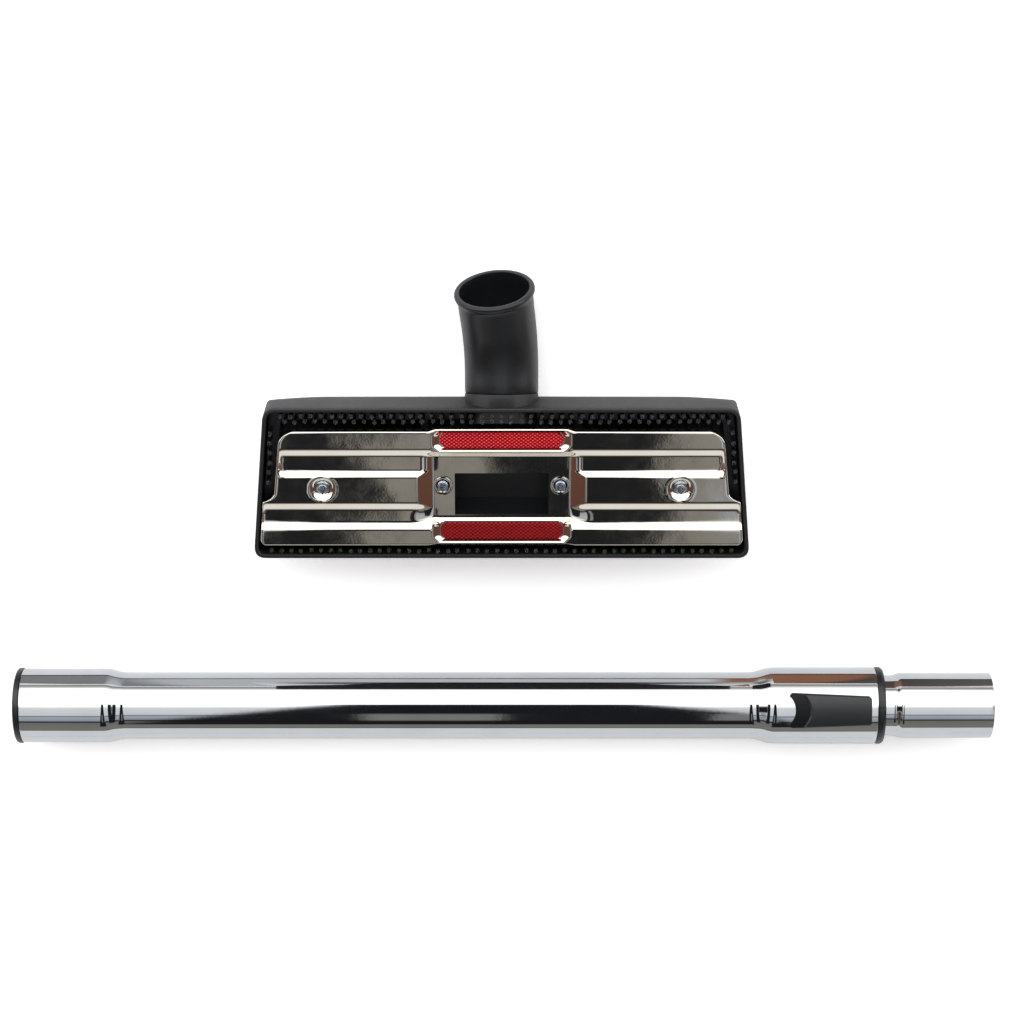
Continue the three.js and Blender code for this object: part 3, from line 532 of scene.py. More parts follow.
def build_housing():
    rim = Rim()
    shell = shell_mesh(rim)
    seam, axis = neck_axis()
    pocket_low, pocket_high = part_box("pedal")
    low = Vector((pocket_low.x - PEDAL_ROOM, pocket_low.y - 1.3 * MM, -2 * MM))
    high = Vector((pocket_high.x + PEDAL_ROOM, pocket_high.y + 1.3 * MM, pocket_high.z + PEDAL_ROOM))
    side = Vector((PEDAL_WALL, PEDAL_WALL, 0))
    walls_low = low - side + Vector((0, 0, 2.9 * MM))
    walls = box_mesh("pocket_walls", walls_low, high + side + Vector((0, 0, 1.6 * MM)), SHELL_BLACK)
    boolean(shell, walls, "UNION")
    boolean(shell, box_mesh("pocket", low, high, SHELL_BLACK), "DIFFERENCE")
    stub_outline = filleted([
        (STUB_ROOT, STUB_BORE - 6 * MM, 0), (STUB_END, STUB_BORE - 6 * MM, 0),
        (STUB_END, STUB_RADIUS, 0.4 * MM), (STUB_ROOT, STUB_RADIUS + 0.5 * MM, 0)], 4)
    stub = turned("stub", stub_outline, seam, axis, SHELL_BLACK, 128)
    cap_low = (-30 * MM, rim.rear - 40 * MM, -1 * MM)
    cap = box_mesh("cap", cap_low, (30 * MM, rim.rear + 30 * MM, rim.top - 1.4 * MM), SHELL_BLACK)
    boolean(stub, cap, "INTERSECT")
    boolean(shell, stub, "UNION")
    bore_outline = [
        (-SPIGOT_LENGTH - 0.4 * MM, 0.01 * MM), (2 * MM, 0.01 * MM), (2 * MM, STUB_BORE),
        (-SPIGOT_LENGTH - 0.4 * MM, STUB_BORE)]
    boolean(shell, turned("bore", bore_outline, seam, axis, SHELL_BLACK, 96), "DIFFERENCE")
    passage_low = (-STUB_BORE + 3 * MM, rim.rear - WALL - 30 * MM, 12 * MM)
    passage_high = (STUB_BORE - 3 * MM, rim.rear - WALL * 0.5, 29 * MM)
    boolean(shell, box_mesh("passage", passage_low, passage_high, SHELL_BLACK), "DIFFERENCE")
    shade(shell, 28)
    finish_piece(shell, "floor_tool", "black_plastic", "housing_shell")


# ---- Neck ----
NECK_BEND = math.radians(29)
NECK_SWIVEL = math.radians(13)
BEND_RADIUS = 60 * MM
NECK_START = 8 * MM
NECK_END = 20.8 * MM
NECK_R = 19.97                    # outer radius in mm
NECK_SWELL = 0.4                  # how much wider it gets towards the mouth, in mm
ELBOW_BORE_R = 17.4               # in mm
NECK_LENGTH = NECK_START + BEND_RADIUS * NECK_BEND + NECK_END


def neck_station(along, radius):
    """A ring's centre and plane at a distance along the elbow's centre line."""
    seam, axis = neck_axis()
    right = Vector((1, 0, 0))
    up = right.cross(axis)
    if up.z < 0:
        up = -up
    turned_to = (up * math.cos(NECK_SWIVEL) - right * math.sin(NECK_SWIVEL)).normalized()
    angle = min(max((along - NECK_START) / BEND_RADIUS, 0.0), NECK_BEND)
    arc = BEND_RADIUS * NECK_BEND
    rest = max(along - NECK_START - arc, 0.0)
    ahead = min(along, NECK_START) + BEND_RADIUS * math.sin(angle) + rest * math.cos(angle)
    aside = BEND_RADIUS * (1 - math.cos(angle)) + rest * math.sin(angle)
    tangent = axis * math.cos(angle) + turned_to * math.sin(angle)
    across = tangent.cross(turned_to).normalized()
    return seam + axis * ahead + turned_to * aside, across, tangent.cross(across).normalized(), radius


def build_neck():
    """The elbow as one skin: outside from the spigot to the rolled mouth, and back down the bore."""
    outline = [
        (-7.6, 16.5), (-7.5, 17.8), (-7.1, 18.1), (-5.4, 18.1), (-5.35, 17.2), (-3.45, 17.2), (-3.4, 18.1),
        (-1.07, 18.1), (-1.0, 18.8), (-1.0, 19.55), (-0.84, 19.85), (-0.47, 19.95), (4, NECK_R)]
    points = [(a * MM, r * MM) for a, r in outline]
    bend = [NECK_START + BEND_RADIUS * NECK_BEND * i / 22 for i in range(23)]
    for along in bend:
        swell = (along - NECK_START) / (NECK_LENGTH - NECK_START)
        points.append((along, (NECK_R + NECK_SWELL * swell) * MM))
    end = NECK_LENGTH
    mouth = [
        (-9.0, 20.4), (-6.2, 20.43), (-4.6, 20.5), (-3.7, 20.8), (-3.1, 21.35), (-2.5, 21.75), (-1.7, 21.9),
        (-0.9, 21.78), (-0.35, 21.4), (-0.08, 20.85), (0, 20.3), (0, 19.6), (-0.08, 19.2), (-0.35, 18.95),
        (-0.9, 18.83), (-8, 18.8), (-21.7, 18.8), (-22.0, 18.6), (-22.0, 17.5)]
    points += [(end + a * MM, r * MM) for a, r in mouth]
    for along in reversed(bend[:-1]):
        if along < end - 23 * MM:
            points.append((along, ELBOW_BORE_R * MM))
    points += [(7.9 * MM, 17.3 * MM), (7.6 * MM, 16.4 * MM), (0, 16.3 * MM), (-7.3 * MM, 16.3 * MM)]
    elbow = swept_rings("swivel_neck", [neck_station(a, r) for a, r in points], BLACK, 128, 32)
    finish_piece(elbow, "neck", "black_plastic", "neck_elbow")


# ---- Sole plate ----
SHEET = 1.0 * MM
SKIRT = 4 * MM                       # height of the turned-down edge
PLATE_BULGE = (1.4, 1.0)             # how far the rear and front edges stand out over the strips
# Below, and in class Plate, everything is in mm.
REAR_HALF, FRONT_TAPER = 123.4, 0.085
STEP_Y, STEP_RUN = -3.6, 5.4         # where the ends step out to the wider front
REAR_CORNER, FRONT_CORNER = (9.5, 7.5), 4
PANEL = 3.8                          # depth of the recess round the suction mouth
PANEL_HALF, PANEL_TOP_HALF = 37.4, 45.6    # at its floor and where its side wall meets the lands
PANEL_SWEEP = 9                      # how much further out the side wall runs at the front
PANEL_REAR = (16.6, 19.9)
GROOVE = 2.3                         # depth of the grooves
GROOVE_A = (121.4, 4.4, (5.4, 8.6, 17.0, 21.2))          # end, reach of its rounded end, flanks in y
GROOVE_B = (131.6, 4.6, (-60.0, -58.0, -13.9, -9.4))
FRONT_SLOPE_Y, FRONT_SLOPE_RUN = -25.0, 4.1              # where the slope behind the front land starts
DIMPLE_DEPTH, DIMPLE_FLOOR_R, DIMPLE_R = 2.2, 3.6, 6.5   # round the large screws
STRIP_DEPTH, STRIP_END, STRIP_RUN = 2.4, 33.7, 3.6    # strip pockets: half length, run of the end wall
STRIP_FRONT_RUN, STRIP_REAR_RUN = 1.25, 0.5
MOUTH = (25.5, -17.3, 6.6)           # half width, front and rear edge
EDGE_RADIUS = 1.3
RIPPLES, RIPPLE_DEPTH = 14, 0.012    # faint waves of the sheet
WING_X = 47                          # beyond this the grid follows the tapering ends
EDGE_STEPS = np.array([0.15, 0.4, 0.75])


def smooth(value, low, high):
    t = np.clip((value - low) / (high - low), 0, 1)
    return t * t * (3 - 2 * t)


class Plate:
    """The pressed sole: its outline and its relief, in metres, drawn in millimetres."""

    def __init__(self):
        low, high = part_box("sole_plate")
        self.top = high.z
        self.rear = high.y - 1.6 * MM
        self.front = low.y
        self.front_half = high.x
        self.screw = self.centre_of("plate_screw_right")
        self.small_screw = self.centre_of("duct_screw_right")
        self.strips = []
        for strip in ("lint_strip_rear", "lint_strip_front"):
            strip_low, strip_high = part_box(strip)
            self.strips.append((strip_low.y / MM + 0.2, strip_high.y / MM + 0.1))

    def centre_of(self, node):
        node_low, node_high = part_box(node)
        return (node_low.x + node_high.x) / 2 / MM, (node_low.y + node_high.y) / 2 / MM

    def half(self, y):
        """Half width in mm at y in mm: narrow behind the step, wide in front of it."""
        rear = REAR_HALF - 3.4 * (y + 1) / 33
        front = self.front_half / MM - (y - self.front / MM) * FRONT_TAPER
        width = rear + (front - rear) * np.clip((STEP_Y - y) / STEP_RUN, 0, 1) ** 2.3
        corner_rear = np.clip((y - (self.rear / MM - REAR_CORNER[1])) / REAR_CORNER[1], 0, 1)
        corner_front = np.clip((self.front / MM + FRONT_CORNER - y) / FRONT_CORNER, 0, 1)
        width = width - REAR_CORNER[0] * (1 - np.sqrt(1 - corner_rear ** 2 * 0.998))
        return width - FRONT_CORNER * (1 - np.sqrt(1 - corner_front ** 2 * 0.998))

    def relief(self, x, y):
        """Depth below the lands in mm. x and y are in mm."""
        wide = np.abs(x)
        groove_a = GROOVE * hollow(wide, y, *GROOVE_A)
        groove_b = GROOVE * hollow(wide, y, *GROOVE_B)
        sweep = 1 - smooth(y, -17.5, -9.5)
        side_wall = 1 - ease_to(wide, PANEL_HALF, PANEL_TOP_HALF + PANEL_SWEEP * sweep, 1.2)
        panel = PANEL * side_wall * (1 - ease(y, *PANEL_REAR, 1.2))
        fade = smooth(wide, 28, 40)
        depth = ((groove_a * fade) ** 4 + (groove_b * fade) ** 4 + panel ** 4) ** 0.25
        ahead = y - FRONT_SLOPE_Y
        front_slope = np.clip(ahead * GROOVE / FRONT_SLOPE_RUN, 0, None)
        soft = 0.35
        depth = (front_slope + depth - np.sqrt((front_slope - depth) ** 2 + soft ** 2)) / 2
        depth = np.maximum(depth + (np.sqrt(ahead ** 2 + 0.6) - np.abs(ahead)) * 0.1, 0)
        depth = self.press_pockets(wide, y, depth)
        radius = np.hypot(wide - self.screw[0], y - self.screw[1])
        dimple = 1 - ease(radius, DIMPLE_FLOOR_R, DIMPLE_R, 1.2)
        depth = depth * (1 - dimple) + DIMPLE_DEPTH * dimple - 0.10 * np.exp(-((radius - 7.4) / 0.35) ** 2)
        low_ring = np.hypot(wide - self.small_screw[0], y - self.small_screw[1])
        return depth - 0.3 * np.exp(-((low_ring - 4.1) / 0.42) ** 2) + 0.35 * (1 - smooth(low_ring, 3.2, 3.9))

    def press_pockets(self, wide, y, depth):
        """The two strip pockets: eight-sided, with sloping ends, a sloping front wall and a thin rim."""
        for low, high in self.strips:
            middle, half = (low + high) / 2, (high - low) / 2
            end = (wide - STRIP_END) / STRIP_RUN
            front = (low - y) / STRIP_FRONT_RUN
            rear = (y - high) / STRIP_REAR_RUN
            corner = (wide - STRIP_END + np.abs(y - middle) - half + 2.1) / 3.8
            wall = np.maximum.reduce([end, front, rear, corner])
            beyond = np.maximum(wide - STRIP_END - STRIP_RUN, low - STRIP_FRONT_RUN - y)
            kept = np.maximum(smooth(beyond, 0.3, 1.0), smooth(y, high - 0.4, high + 0.1))
            depth = np.maximum(depth * kept, STRIP_DEPTH * (1 - ease(wall, 0.0, 1.0, 0.35)))
        return depth


def ease(value, low, high, corner):
    """Rises straight from 0 at low to 1 at high, with both corners rounded over the given length."""
    span = high - low
    t = (value - low) / span
    soft = corner / span / 2

    def hinge(u):
        return np.where(u <= -soft, 0.0, np.where(u >= soft, u, (u + soft) ** 2 / (4 * soft)))

    return hinge(t) - hinge(t - 1)


def ease_to(value, low, high, corner):
    """Like ease, for limits that vary from point to point."""
    return ease((value - low) / (high - low) * 8.2, 0.0, 8.2, corner)


def hollow(wide, y, end, reach, flanks):
    """A long groove with straight flanks in y and squarish rounded ends that reach out to |x| = end."""
    low, low_floor, high_floor, high = flanks
    middle = (low_floor + high_floor) / 2
    above = y > middle
    rise = np.where(above, (y - middle) / (high - middle), (middle - y) / (middle - low))
    floor = np.where(above, (high_floor - middle) / (high - middle), (middle - low_floor) / (middle - low))
    out = np.clip((wide - end + reach) / reach, 0, None)
    ring = (rise ** 4 + out ** 4) ** 0.25
    return 1 - ease((ring - floor) / (1 - floor) * 5, 0.0, 5.0, 2.0)


def graded(stops, step):
    """Values through all stops, no further apart than step."""
    values = []
    for a, b in zip(stops, stops[1:]):
        count = max(1, math.ceil((b - a) / step))
        values += list(np.linspace(a, b, count + 1)[:-1])
    return np.array(values + [stops[-1]])


def plate_grid(plate):
    """Columns and rows of the sheet, and the places that they are stretched to, in mm."""
    front, rear = plate.front / MM, plate.rear / MM
    mouth_half, mouth_low, mouth_high = MOUTH
    ys = graded([front, front + 1.2, front + 5, mouth_low, mouth_high, rear - 7, rear - 1.2, rear], 0.6)
    ys = np.unique(np.concatenate([ys, front + EDGE_STEPS, rear - EDGE_STEPS]))
    base = plate.front_half / MM
    inner = graded([0, mouth_half, 33.3, 33.8, 37.4, WING_X], 0.5)
    outer = graded([WING_X, 115.0, base], 0.8)[1:]
    wing = np.unique(np.concatenate([inner, outer, base - EDGE_STEPS, [base - 1.2]]))
    xs = np.concatenate([-wing[::-1], wing[1:]])
    grid_x, grid_y = np.meshgrid(xs, ys)
    half = plate.half(grid_y)
    past_wing = (np.abs(grid_x) - WING_X) * (half - WING_X) / (base - WING_X)
    px = np.where(np.abs(grid_x) > WING_X, np.sign(grid_x) * (WING_X + past_wing), grid_x)
    at_strips = 1 - smooth(np.abs(px), 35.0, 40.5)
    rear_bulge, front_bulge = PLATE_BULGE
    at_rear = rear_bulge * smooth(grid_y, rear - 6, rear)
    py = grid_y + at_strips * (at_rear + front_bulge * (1 - smooth(grid_y, front, front + 1.8)))
    to_edge = np.minimum.reduce([half - np.abs(px), grid_y - front, rear - grid_y])
    return xs, ys, px, py, to_edge


def plate_faces(xs, ys):
    """The grid's faces, without those over the suction mouth."""
    mouth_half, mouth_low, mouth_high = MOUTH
    mid_x = (xs[1:] + xs[:-1]) / 2
    mid_y = (ys[1:] + ys[:-1]) / 2
    in_mouth = np.outer((mouth_low < mid_y) & (mid_y < mouth_high), np.abs(mid_x) < mouth_half).ravel()
    return [face for face, skipped in zip(grid_faces(len(ys), len(xs)), in_mouth) if not skipped]


def build_sole_plate():
    plate = Plate()
    xs, ys, px, py, to_edge = plate_grid(plate)
    depth = plate.relief(px, py)
    inside = np.clip(to_edge / EDGE_RADIUS, 0, 1)
    depth = depth + EDGE_RADIUS * (1 - np.sqrt(1 - (1 - inside) ** 2)) * 0.999
    rng = np.random.default_rng(RANDOM_SEED)
    for _ in range(RIPPLES):
        kx, ky = rng.uniform(-0.09, 0.09), rng.uniform(-0.16, 0.16)
        depth += RIPPLE_DEPTH * np.sin(kx * px + ky * py + rng.uniform(0, 6.28))
    pz = plate.top / MM - depth
    rows, cols = px.shape
    verts = np.column_stack([px.ravel(), py.ravel(), pz.ravel()]) * MM
    faces = plate_faces(xs, ys)
    verts, faces = with_skirt(verts, faces, rows, cols, plate.top - SKIRT)
    obj = new_object("pressed_sole", verts, faces, NICKEL, 60)
    thick = obj.modifiers.new("sheet", "SOLIDIFY")
    thick.thickness = SHEET
    thick.offset = -1
    apply_modifiers(obj)
    shade(obj, 60)
    finish_piece(obj, "floor_tool", "nickel_plate", "sole_plate")


def with_skirt(verts, faces, rows, cols, bottom):
    """Turns the sheet's outer edge down to the skirt's lower edge."""
    ring = grid_border(rows, cols)
    start = len(verts)
    skirt = verts[ring].copy()
    skirt[:, 2] = bottom
    faces = list(faces)
    for k in range(len(ring)):
        following = (k + 1) % len(ring)
        faces.append((ring[following], ring[k], start + k, start + following))
    return np.concatenate([verts, skirt]), faces


PAD_STEP = 0.26                      # grid of the woven pads in mm
PAD_DROP = 0.65                      # how much lower the crown is than the CAD strip
PAD_CUTS = (2.9, 2.4)                # cut corners at the rear and at the front
YARN = 0.24


def build_lint_strip(node, material):
    """A woven pad: crossed raised yarns, four cut corners and a slightly crowned top."""
    low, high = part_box(node)
    crown_top = high.z / MM - PAD_DROP
    x1, y0, y1 = high.x / MM, low.y / MM + 0.3, high.y / MM - 0.1
    xs = graded([-x1, x1], PAD_STEP)
    ys = graded([y0, y1], PAD_STEP)
    grid_x, grid_y = np.meshgrid(xs, ys)
    cut = np.clip(PAD_CUTS[0] - (y1 - grid_y), 0, None) + np.clip(PAD_CUTS[1] - (grid_y - y0), 0, None)
    shrink = 1 - cut / x1
    px = grid_x * shrink
    weave = np.sin(2 * math.pi * px * MM / WEAVE_PITCH[0])
    weave = weave * np.sin(2 * math.pi * grid_y * MM / WEAVE_PITCH[1])
    edge = np.minimum.reduce([x1 * shrink - np.abs(px), grid_y - y0, y1 - grid_y])
    fall = 0.7 * (1 - np.sqrt(np.clip(edge / 0.9, 0, 1)))
    rng = np.random.default_rng(RANDOM_SEED + len(node))
    pz = crown_top - 0.26 + YARN * weave - fall + rng.normal(0, 0.02, px.shape)
    rows, cols = px.shape
    verts = np.column_stack([px.ravel(), grid_y.ravel(), pz.ravel()]) * MM
    verts, faces = with_skirt(verts, grid_faces(rows, cols), rows, cols, low.z)
    boundary = list(range(rows * cols, len(verts)))
    faces.append(tuple(boundary))
    obj = new_object(node.replace("lint_strip", "lint_pad"), verts, faces, material, 70)
    finish_piece(obj, "floor_tool", "red_weave", node)


THREAD_PITCH = 0.8 * MM
PLATE_SCREW_HEAD_R = 2.75 * MM
DUCT_SCREW_HEAD_R = 3.05 * MM


def build_screw(node, head):
    """A cross-head machine screw with a domed head of radius head, a recess and a thread."""
    low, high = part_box(node)
    centre = Vector(((low.x + high.x) / 2, (low.y + high.y) / 2, 0))
    under = high.z - (2.0 * MM if "duct" in node else 1.8 * MM)
    shank = 0.45 * head
    outline = [(low.z, 0.0), (low.z, shank * 0.6), (low.z + 0.4 * MM, shank)]
    z = low.z + 0.6 * MM
    while z < under - 1.0 * MM:
        outline.append((z, shank))
        outline += [(z + THREAD_PITCH * 0.35, shank * 0.8), (z + THREAD_PITCH * 0.65, shank * 0.8)]
        z += THREAD_PITCH
    dome = high.z - under
    outline += [(under - 0.4 * MM, shank), (under, shank), (under, head * 0.94), (under + 0.12 * MM, head)]
    outline += [(under + dome * 0.35, head)]
    for angle in np.linspace(0.15, 1.0, 7) * math.pi / 2:
        z = under + dome * (0.35 + 0.6 * math.sin(angle))
        outline.append((z, head * (0.78 + 0.22 * math.cos(angle))))
    outline.append((high.z, 0.0))
    outline = [(a, max(r, 0.0004 * MM)) for a, r in outline]
    screw = turned(node.replace("screw", "cross_screw"), outline, centre, (0, 0, 1), ZINC, 48, 40)
    spin = 0.5 if "left" in node else 0.2
    for turn in (0, math.pi / 2):
        screw_cutter(screw, centre, high.z, head, spin + turn)
    shade(screw, 40)
    finish_piece(screw, "floor_tool", "zinc", node)


def screw_cutter(screw, centre, top, head, angle):
    """Cuts one tapered arm of the cross recess."""
    arm, width, depth = head * 0.62, head * 0.17, head * 0.4
    verts = []
    for z, reach, half in ((top + 1 * MM, arm * 1.25, width * 1.4), (top - depth, arm * 0.45, width * 0.7)):
        for sx, sy in ((-1, -1), (1, -1), (1, 1), (-1, 1)):
            point = Matrix.Rotation(angle, 3, "Z") @ Vector((sx * reach, sy * half, 0))
            verts.append(centre + point + Vector((0, 0, z)))
    faces = [(0, 1, 2, 3), (7, 6, 5, 4), (0, 4, 5, 1), (1, 5, 6, 2), (2, 6, 7, 3), (3, 7, 4, 0)]
    boolean(screw, new_object("recess", verts, faces, BRIGHT_ZINC), "DIFFERENCE")


# ---- Bristles ----
TUFT_PITCH = 5.35 * MM
FILAMENTS = 17
FILAMENT_R = 0.15 * MM
TUFT_R = (0.8 * MM, 1.2 * MM)        # at the root and at the tips
GOLDEN_ANGLE = 2.399963


def filament(verts, faces, root, tip, thickness):
    """One nylon filament: a thin four-sided rod with a slight curve."""
    start = len(verts)
    middle = (root + tip) / 2 + Vector(((tip.x - root.x) * -0.12, (tip.y - root.y) * -0.12, 0))
    for centre, radius in ((root, thickness), (middle, thickness), (tip, thickness * 0.8)):
        for sx, sy in ((-1, -1), (1, -1), (1, 1), (-1, 1)):
            verts.append(centre + Vector((sx * radius, sy * radius, 0)))
    for level in (0, 4):
        for k in range(4):
            n = (k + 1) % 4
            faces.append((start + level + k, start + level + n, start + level + 4 + n, start + level + 4 + k))
    faces.append((start + 8, start + 9, start + 10, start + 11))
    faces.append((start + 3, start + 2, start + 1, start))


def row_ends(node):
    low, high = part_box(node)
    middle_y = (low.y + high.y) / 2
    inset = 1.2 * MM
    if "left" in node:
        return Vector((high.x - inset, high.y - inset, 0)), Vector((low.x + inset, low.y + inset, 0))
    if "right" in node:
        return Vector((low.x + inset, high.y - inset, 0)), Vector((high.x - inset, low.y + inset, 0))
    return Vector((low.x + inset, middle_y, 0)), Vector((high.x - inset, middle_y, 0))


def build_bristles(node, shift):
    low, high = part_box(node)
    start, end = row_ends(node)
    count = round((end - start).length / TUFT_PITCH)
    draw = random.Random(RANDOM_SEED + len(node))
    verts, faces = [], []
    for i in range(count):
        share = (i + 0.5 + shift) / count
        if share > 1:
            continue
        base = start.lerp(end, share)
        lean = Vector((draw.gauss(0, 0.22), draw.gauss(0, 0.22), 0)) * MM
        for k in range(FILAMENTS):
            angle = GOLDEN_ANGLE * k
            spread = math.sqrt((k + 0.5) / FILAMENTS)
            out = Vector((math.cos(angle), math.sin(angle), 0)) * spread
            root = base + out * TUFT_R[0] + Vector((0, 0, low.z))
            jitter = Vector((draw.gauss(0, 0.10), draw.gauss(0, 0.10), 0)) * MM
            tip_z = high.z - abs(draw.gauss(0, 0.35)) * MM
            tip = base + out * TUFT_R[1] + lean + jitter + Vector((0, 0, tip_z))
            filament(verts, faces, root, tip, FILAMENT_R)
    obj = new_object(node.replace("bristles", "tufts"), verts, faces, NYLON, 50)
    finish_piece(obj, "brush", "bristle", node)


# ---- Wand ----
SOCKET_R, TUBE_R, COLLAR_R = 21.15 * MM, 19 * MM, 21.85 * MM
SOCKET_BORE, TUBE_BORE, COLLAR_BORE = 20.1 * MM, 18.2 * MM, 20.65 * MM
SOCKET_LENGTH = 49.2 * MM
SHOULDER_END = 56.2 * MM             # where the slope down from the socket meets the tube
COLLAR_SLOPE_START, COLLAR_LENGTH = 69.3 * MM, 60.5 * MM
INNER_R, INNER_BORE, TIP_R, TIP_BORE = 17.15 * MM, 16.2 * MM, 18.6 * MM, 17.7 * MM
TIP_LENGTH = 52.2 * MM
LATCH_HALF = 5.4 * MM                # half width of the latch window and of the notches
NOTCH_PITCH = 48 * MM
NOTCHES = 8
RING_R, RING_BORE = 19.8 * MM, 19.1 * MM  # of the ring inside the socket's mouth
RING_LIP_R = 21.5 * MM
AXIS_X = (1, 0, 0)


def wand_axis():
    low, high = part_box("outer_tube")
    return Vector((0, (low.y + high.y) / 2, (low.z + high.z) / 2))


def build_outer_tube():
    low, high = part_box("outer_tube")
    x0, x1 = low.x, high.x
    a, b = x0 + SOCKET_LENGTH, x0 + SHOULDER_END
    c, d = x1 - COLLAR_SLOPE_START, x1 - COLLAR_LENGTH
    soft = 3.4 * MM
    outline = filleted([
        (x0, SOCKET_R, 0.45 * MM), (a, SOCKET_R, soft), (b, TUBE_R, soft), (c, TUBE_R, soft),
        (d, COLLAR_R, soft), (x1, COLLAR_R, 0.45 * MM), (x1, COLLAR_BORE, 0.3 * MM),
        (d + 1 * MM, COLLAR_BORE, soft * 0.7), (c + 1 * MM, TUBE_BORE, soft * 0.7),
        (b - 1 * MM, TUBE_BORE, soft * 0.7), (a - 1 * MM, SOCKET_BORE, soft * 0.7),
        (x0, SOCKET_BORE, 0.3 * MM)], 9)
    obj = turned("telescopic_outer_tube", outline, wand_axis(), AXIS_X, CHROME, 192, 30)
    cut_latch_window(obj)
    shade(obj, 30)
    finish_piece(obj, "wand", "chrome_tube", "outer_tube")


def latch_turn():
    """Turns a point drawn straight above the wand's axis to where the latch sits."""
    axis = Vector(JOINTS["pawl_lift"]["axis"])
    angle = math.atan2(-axis.y, axis.z)
    centre = wand_axis()
    return Matrix.Translation(centre) @ Matrix.Rotation(angle, 4, "X")


def latch_box(low, high, material):
    """A box drawn straight above the wand's axis and turned to where the latch sits."""
    box = box_mesh("latch_box", low, high, material)
    box.data.transform(latch_turn())
    return box


def cut_latch_window(obj):
    low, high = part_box("latch_button")
    corner_low = (low.x + 8.9 * MM, -LATCH_HALF, 10 * MM)
    corner_high = (high.x - 6.9 * MM, LATCH_HALF, 30 * MM)
    boolean(obj, latch_box(corner_low, corner_high, CHROME), "DIFFERENCE")


def build_inner_tube():
    low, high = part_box("inner_tube")
    x0, x1 = low.x, high.x
    flare, tip = x1 - 55 * MM, x1 - TIP_LENGTH
    soft = 1.5 * MM
    outline = filleted([
        (x0, INNER_R, 0.3 * MM), (flare, INNER_R, soft), (tip, TIP_R, soft), (x1, TIP_R, 0.35 * MM),
        (x1, TIP_BORE, 0.3 * MM), (tip + 0.5 * MM, TIP_BORE, soft), (flare + 0.5 * MM, INNER_BORE, soft),
        (x0, INNER_BORE, 0.3 * MM)], 8)
    obj = turned("telescopic_inner_tube", outline, wand_axis(), AXIS_X, CHROME, 192, 30)
    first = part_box("latch_pawl")[0].x
    for i in range(NOTCHES):
        x = first - i * NOTCH_PITCH
        corner_low = (x - 0.4 * MM, -LATCH_HALF, 16.65 * MM)
        corner_high = (x + 6.4 * MM, LATCH_HALF, 25 * MM)
        boolean(obj, latch_box(corner_low, corner_high, CHROME), "DIFFERENCE")
    shade(obj, 30)
    finish_piece(obj, "wand_inner", "chrome_tube", "inner_tube")


def build_bushes():
    low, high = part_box("socket_sleeve")
    x0 = low.x
    sleeve = filleted([
        (x0, RING_BORE, 0.5 * MM), (x0, 21.0 * MM, 1.0 * MM), (x0 + 1.2 * MM, RING_LIP_R, 0.8 * MM),
        (x0 + 3.2 * MM, RING_LIP_R, 0.5 * MM), (x0 + 3.2 * MM, RING_R, 0), (high.x, RING_R, 0.3 * MM),
        (high.x, RING_BORE, 0.3 * MM)], 5)
    obj = turned("hose_socket_ring", sleeve, wand_axis(), AXIS_X, BLACK, 128, 35)
    finish_piece(obj, "wand", "black_plastic", "socket_sleeve")


BUTTON_HALF = (10, 8.2)              # half width in mm at its two ends
BUTTON_UNDER_R = 22.17 * MM          # its underside and its crown follow the collar
BUTTON_CROWN_R = 24.95 * MM
SCOOP_REACH, SCOOP_BOW = 12.4, 4.4   # how far the thumb scoop runs in mm, and the bow of its edge


def button_point(s, v, x0, x1, top):
    """A point of the button's top or underside. s runs along it, v from -1 to 1 across it."""
    half = (BUTTON_HALF[0] + (BUTTON_HALF[1] - BUTTON_HALF[0]) * s) * MM
    y = v * half
    bite = 3.3 * MM * max(0.0, 1 - (y / (8.6 * MM)) ** 2) ** 0.8
    horn = 1.5 * MM * max(0.0, (abs(v) - 0.86) / 0.14) ** 2
    left = x0 + bite + horn
    right = x1 - 1.2 * MM * max(0.0, (abs(v) - 0.8) / 0.2) ** 2
    x = left + (right - left) * s
    if not top:
        return x, y, math.sqrt(BUTTON_UNDER_R ** 2 - y ** 2)
    arc = x0 + (SCOOP_REACH - SCOOP_BOW * v * v) * MM
    crown = math.sqrt(BUTTON_CROWN_R ** 2 - y ** 2)
    if x < arc:
        into = (arc - x) / MM
        crown -= (0.95 * min(1.0, into / 0.9) + 1.35 * min(1.0, into / 12.5) ** 0.8) * MM
    edge = min(1.0, (1 - abs(v)) / 0.09)
    crown -= 0.5 * MM * (1 - edge) ** 2
    return x, y, crown


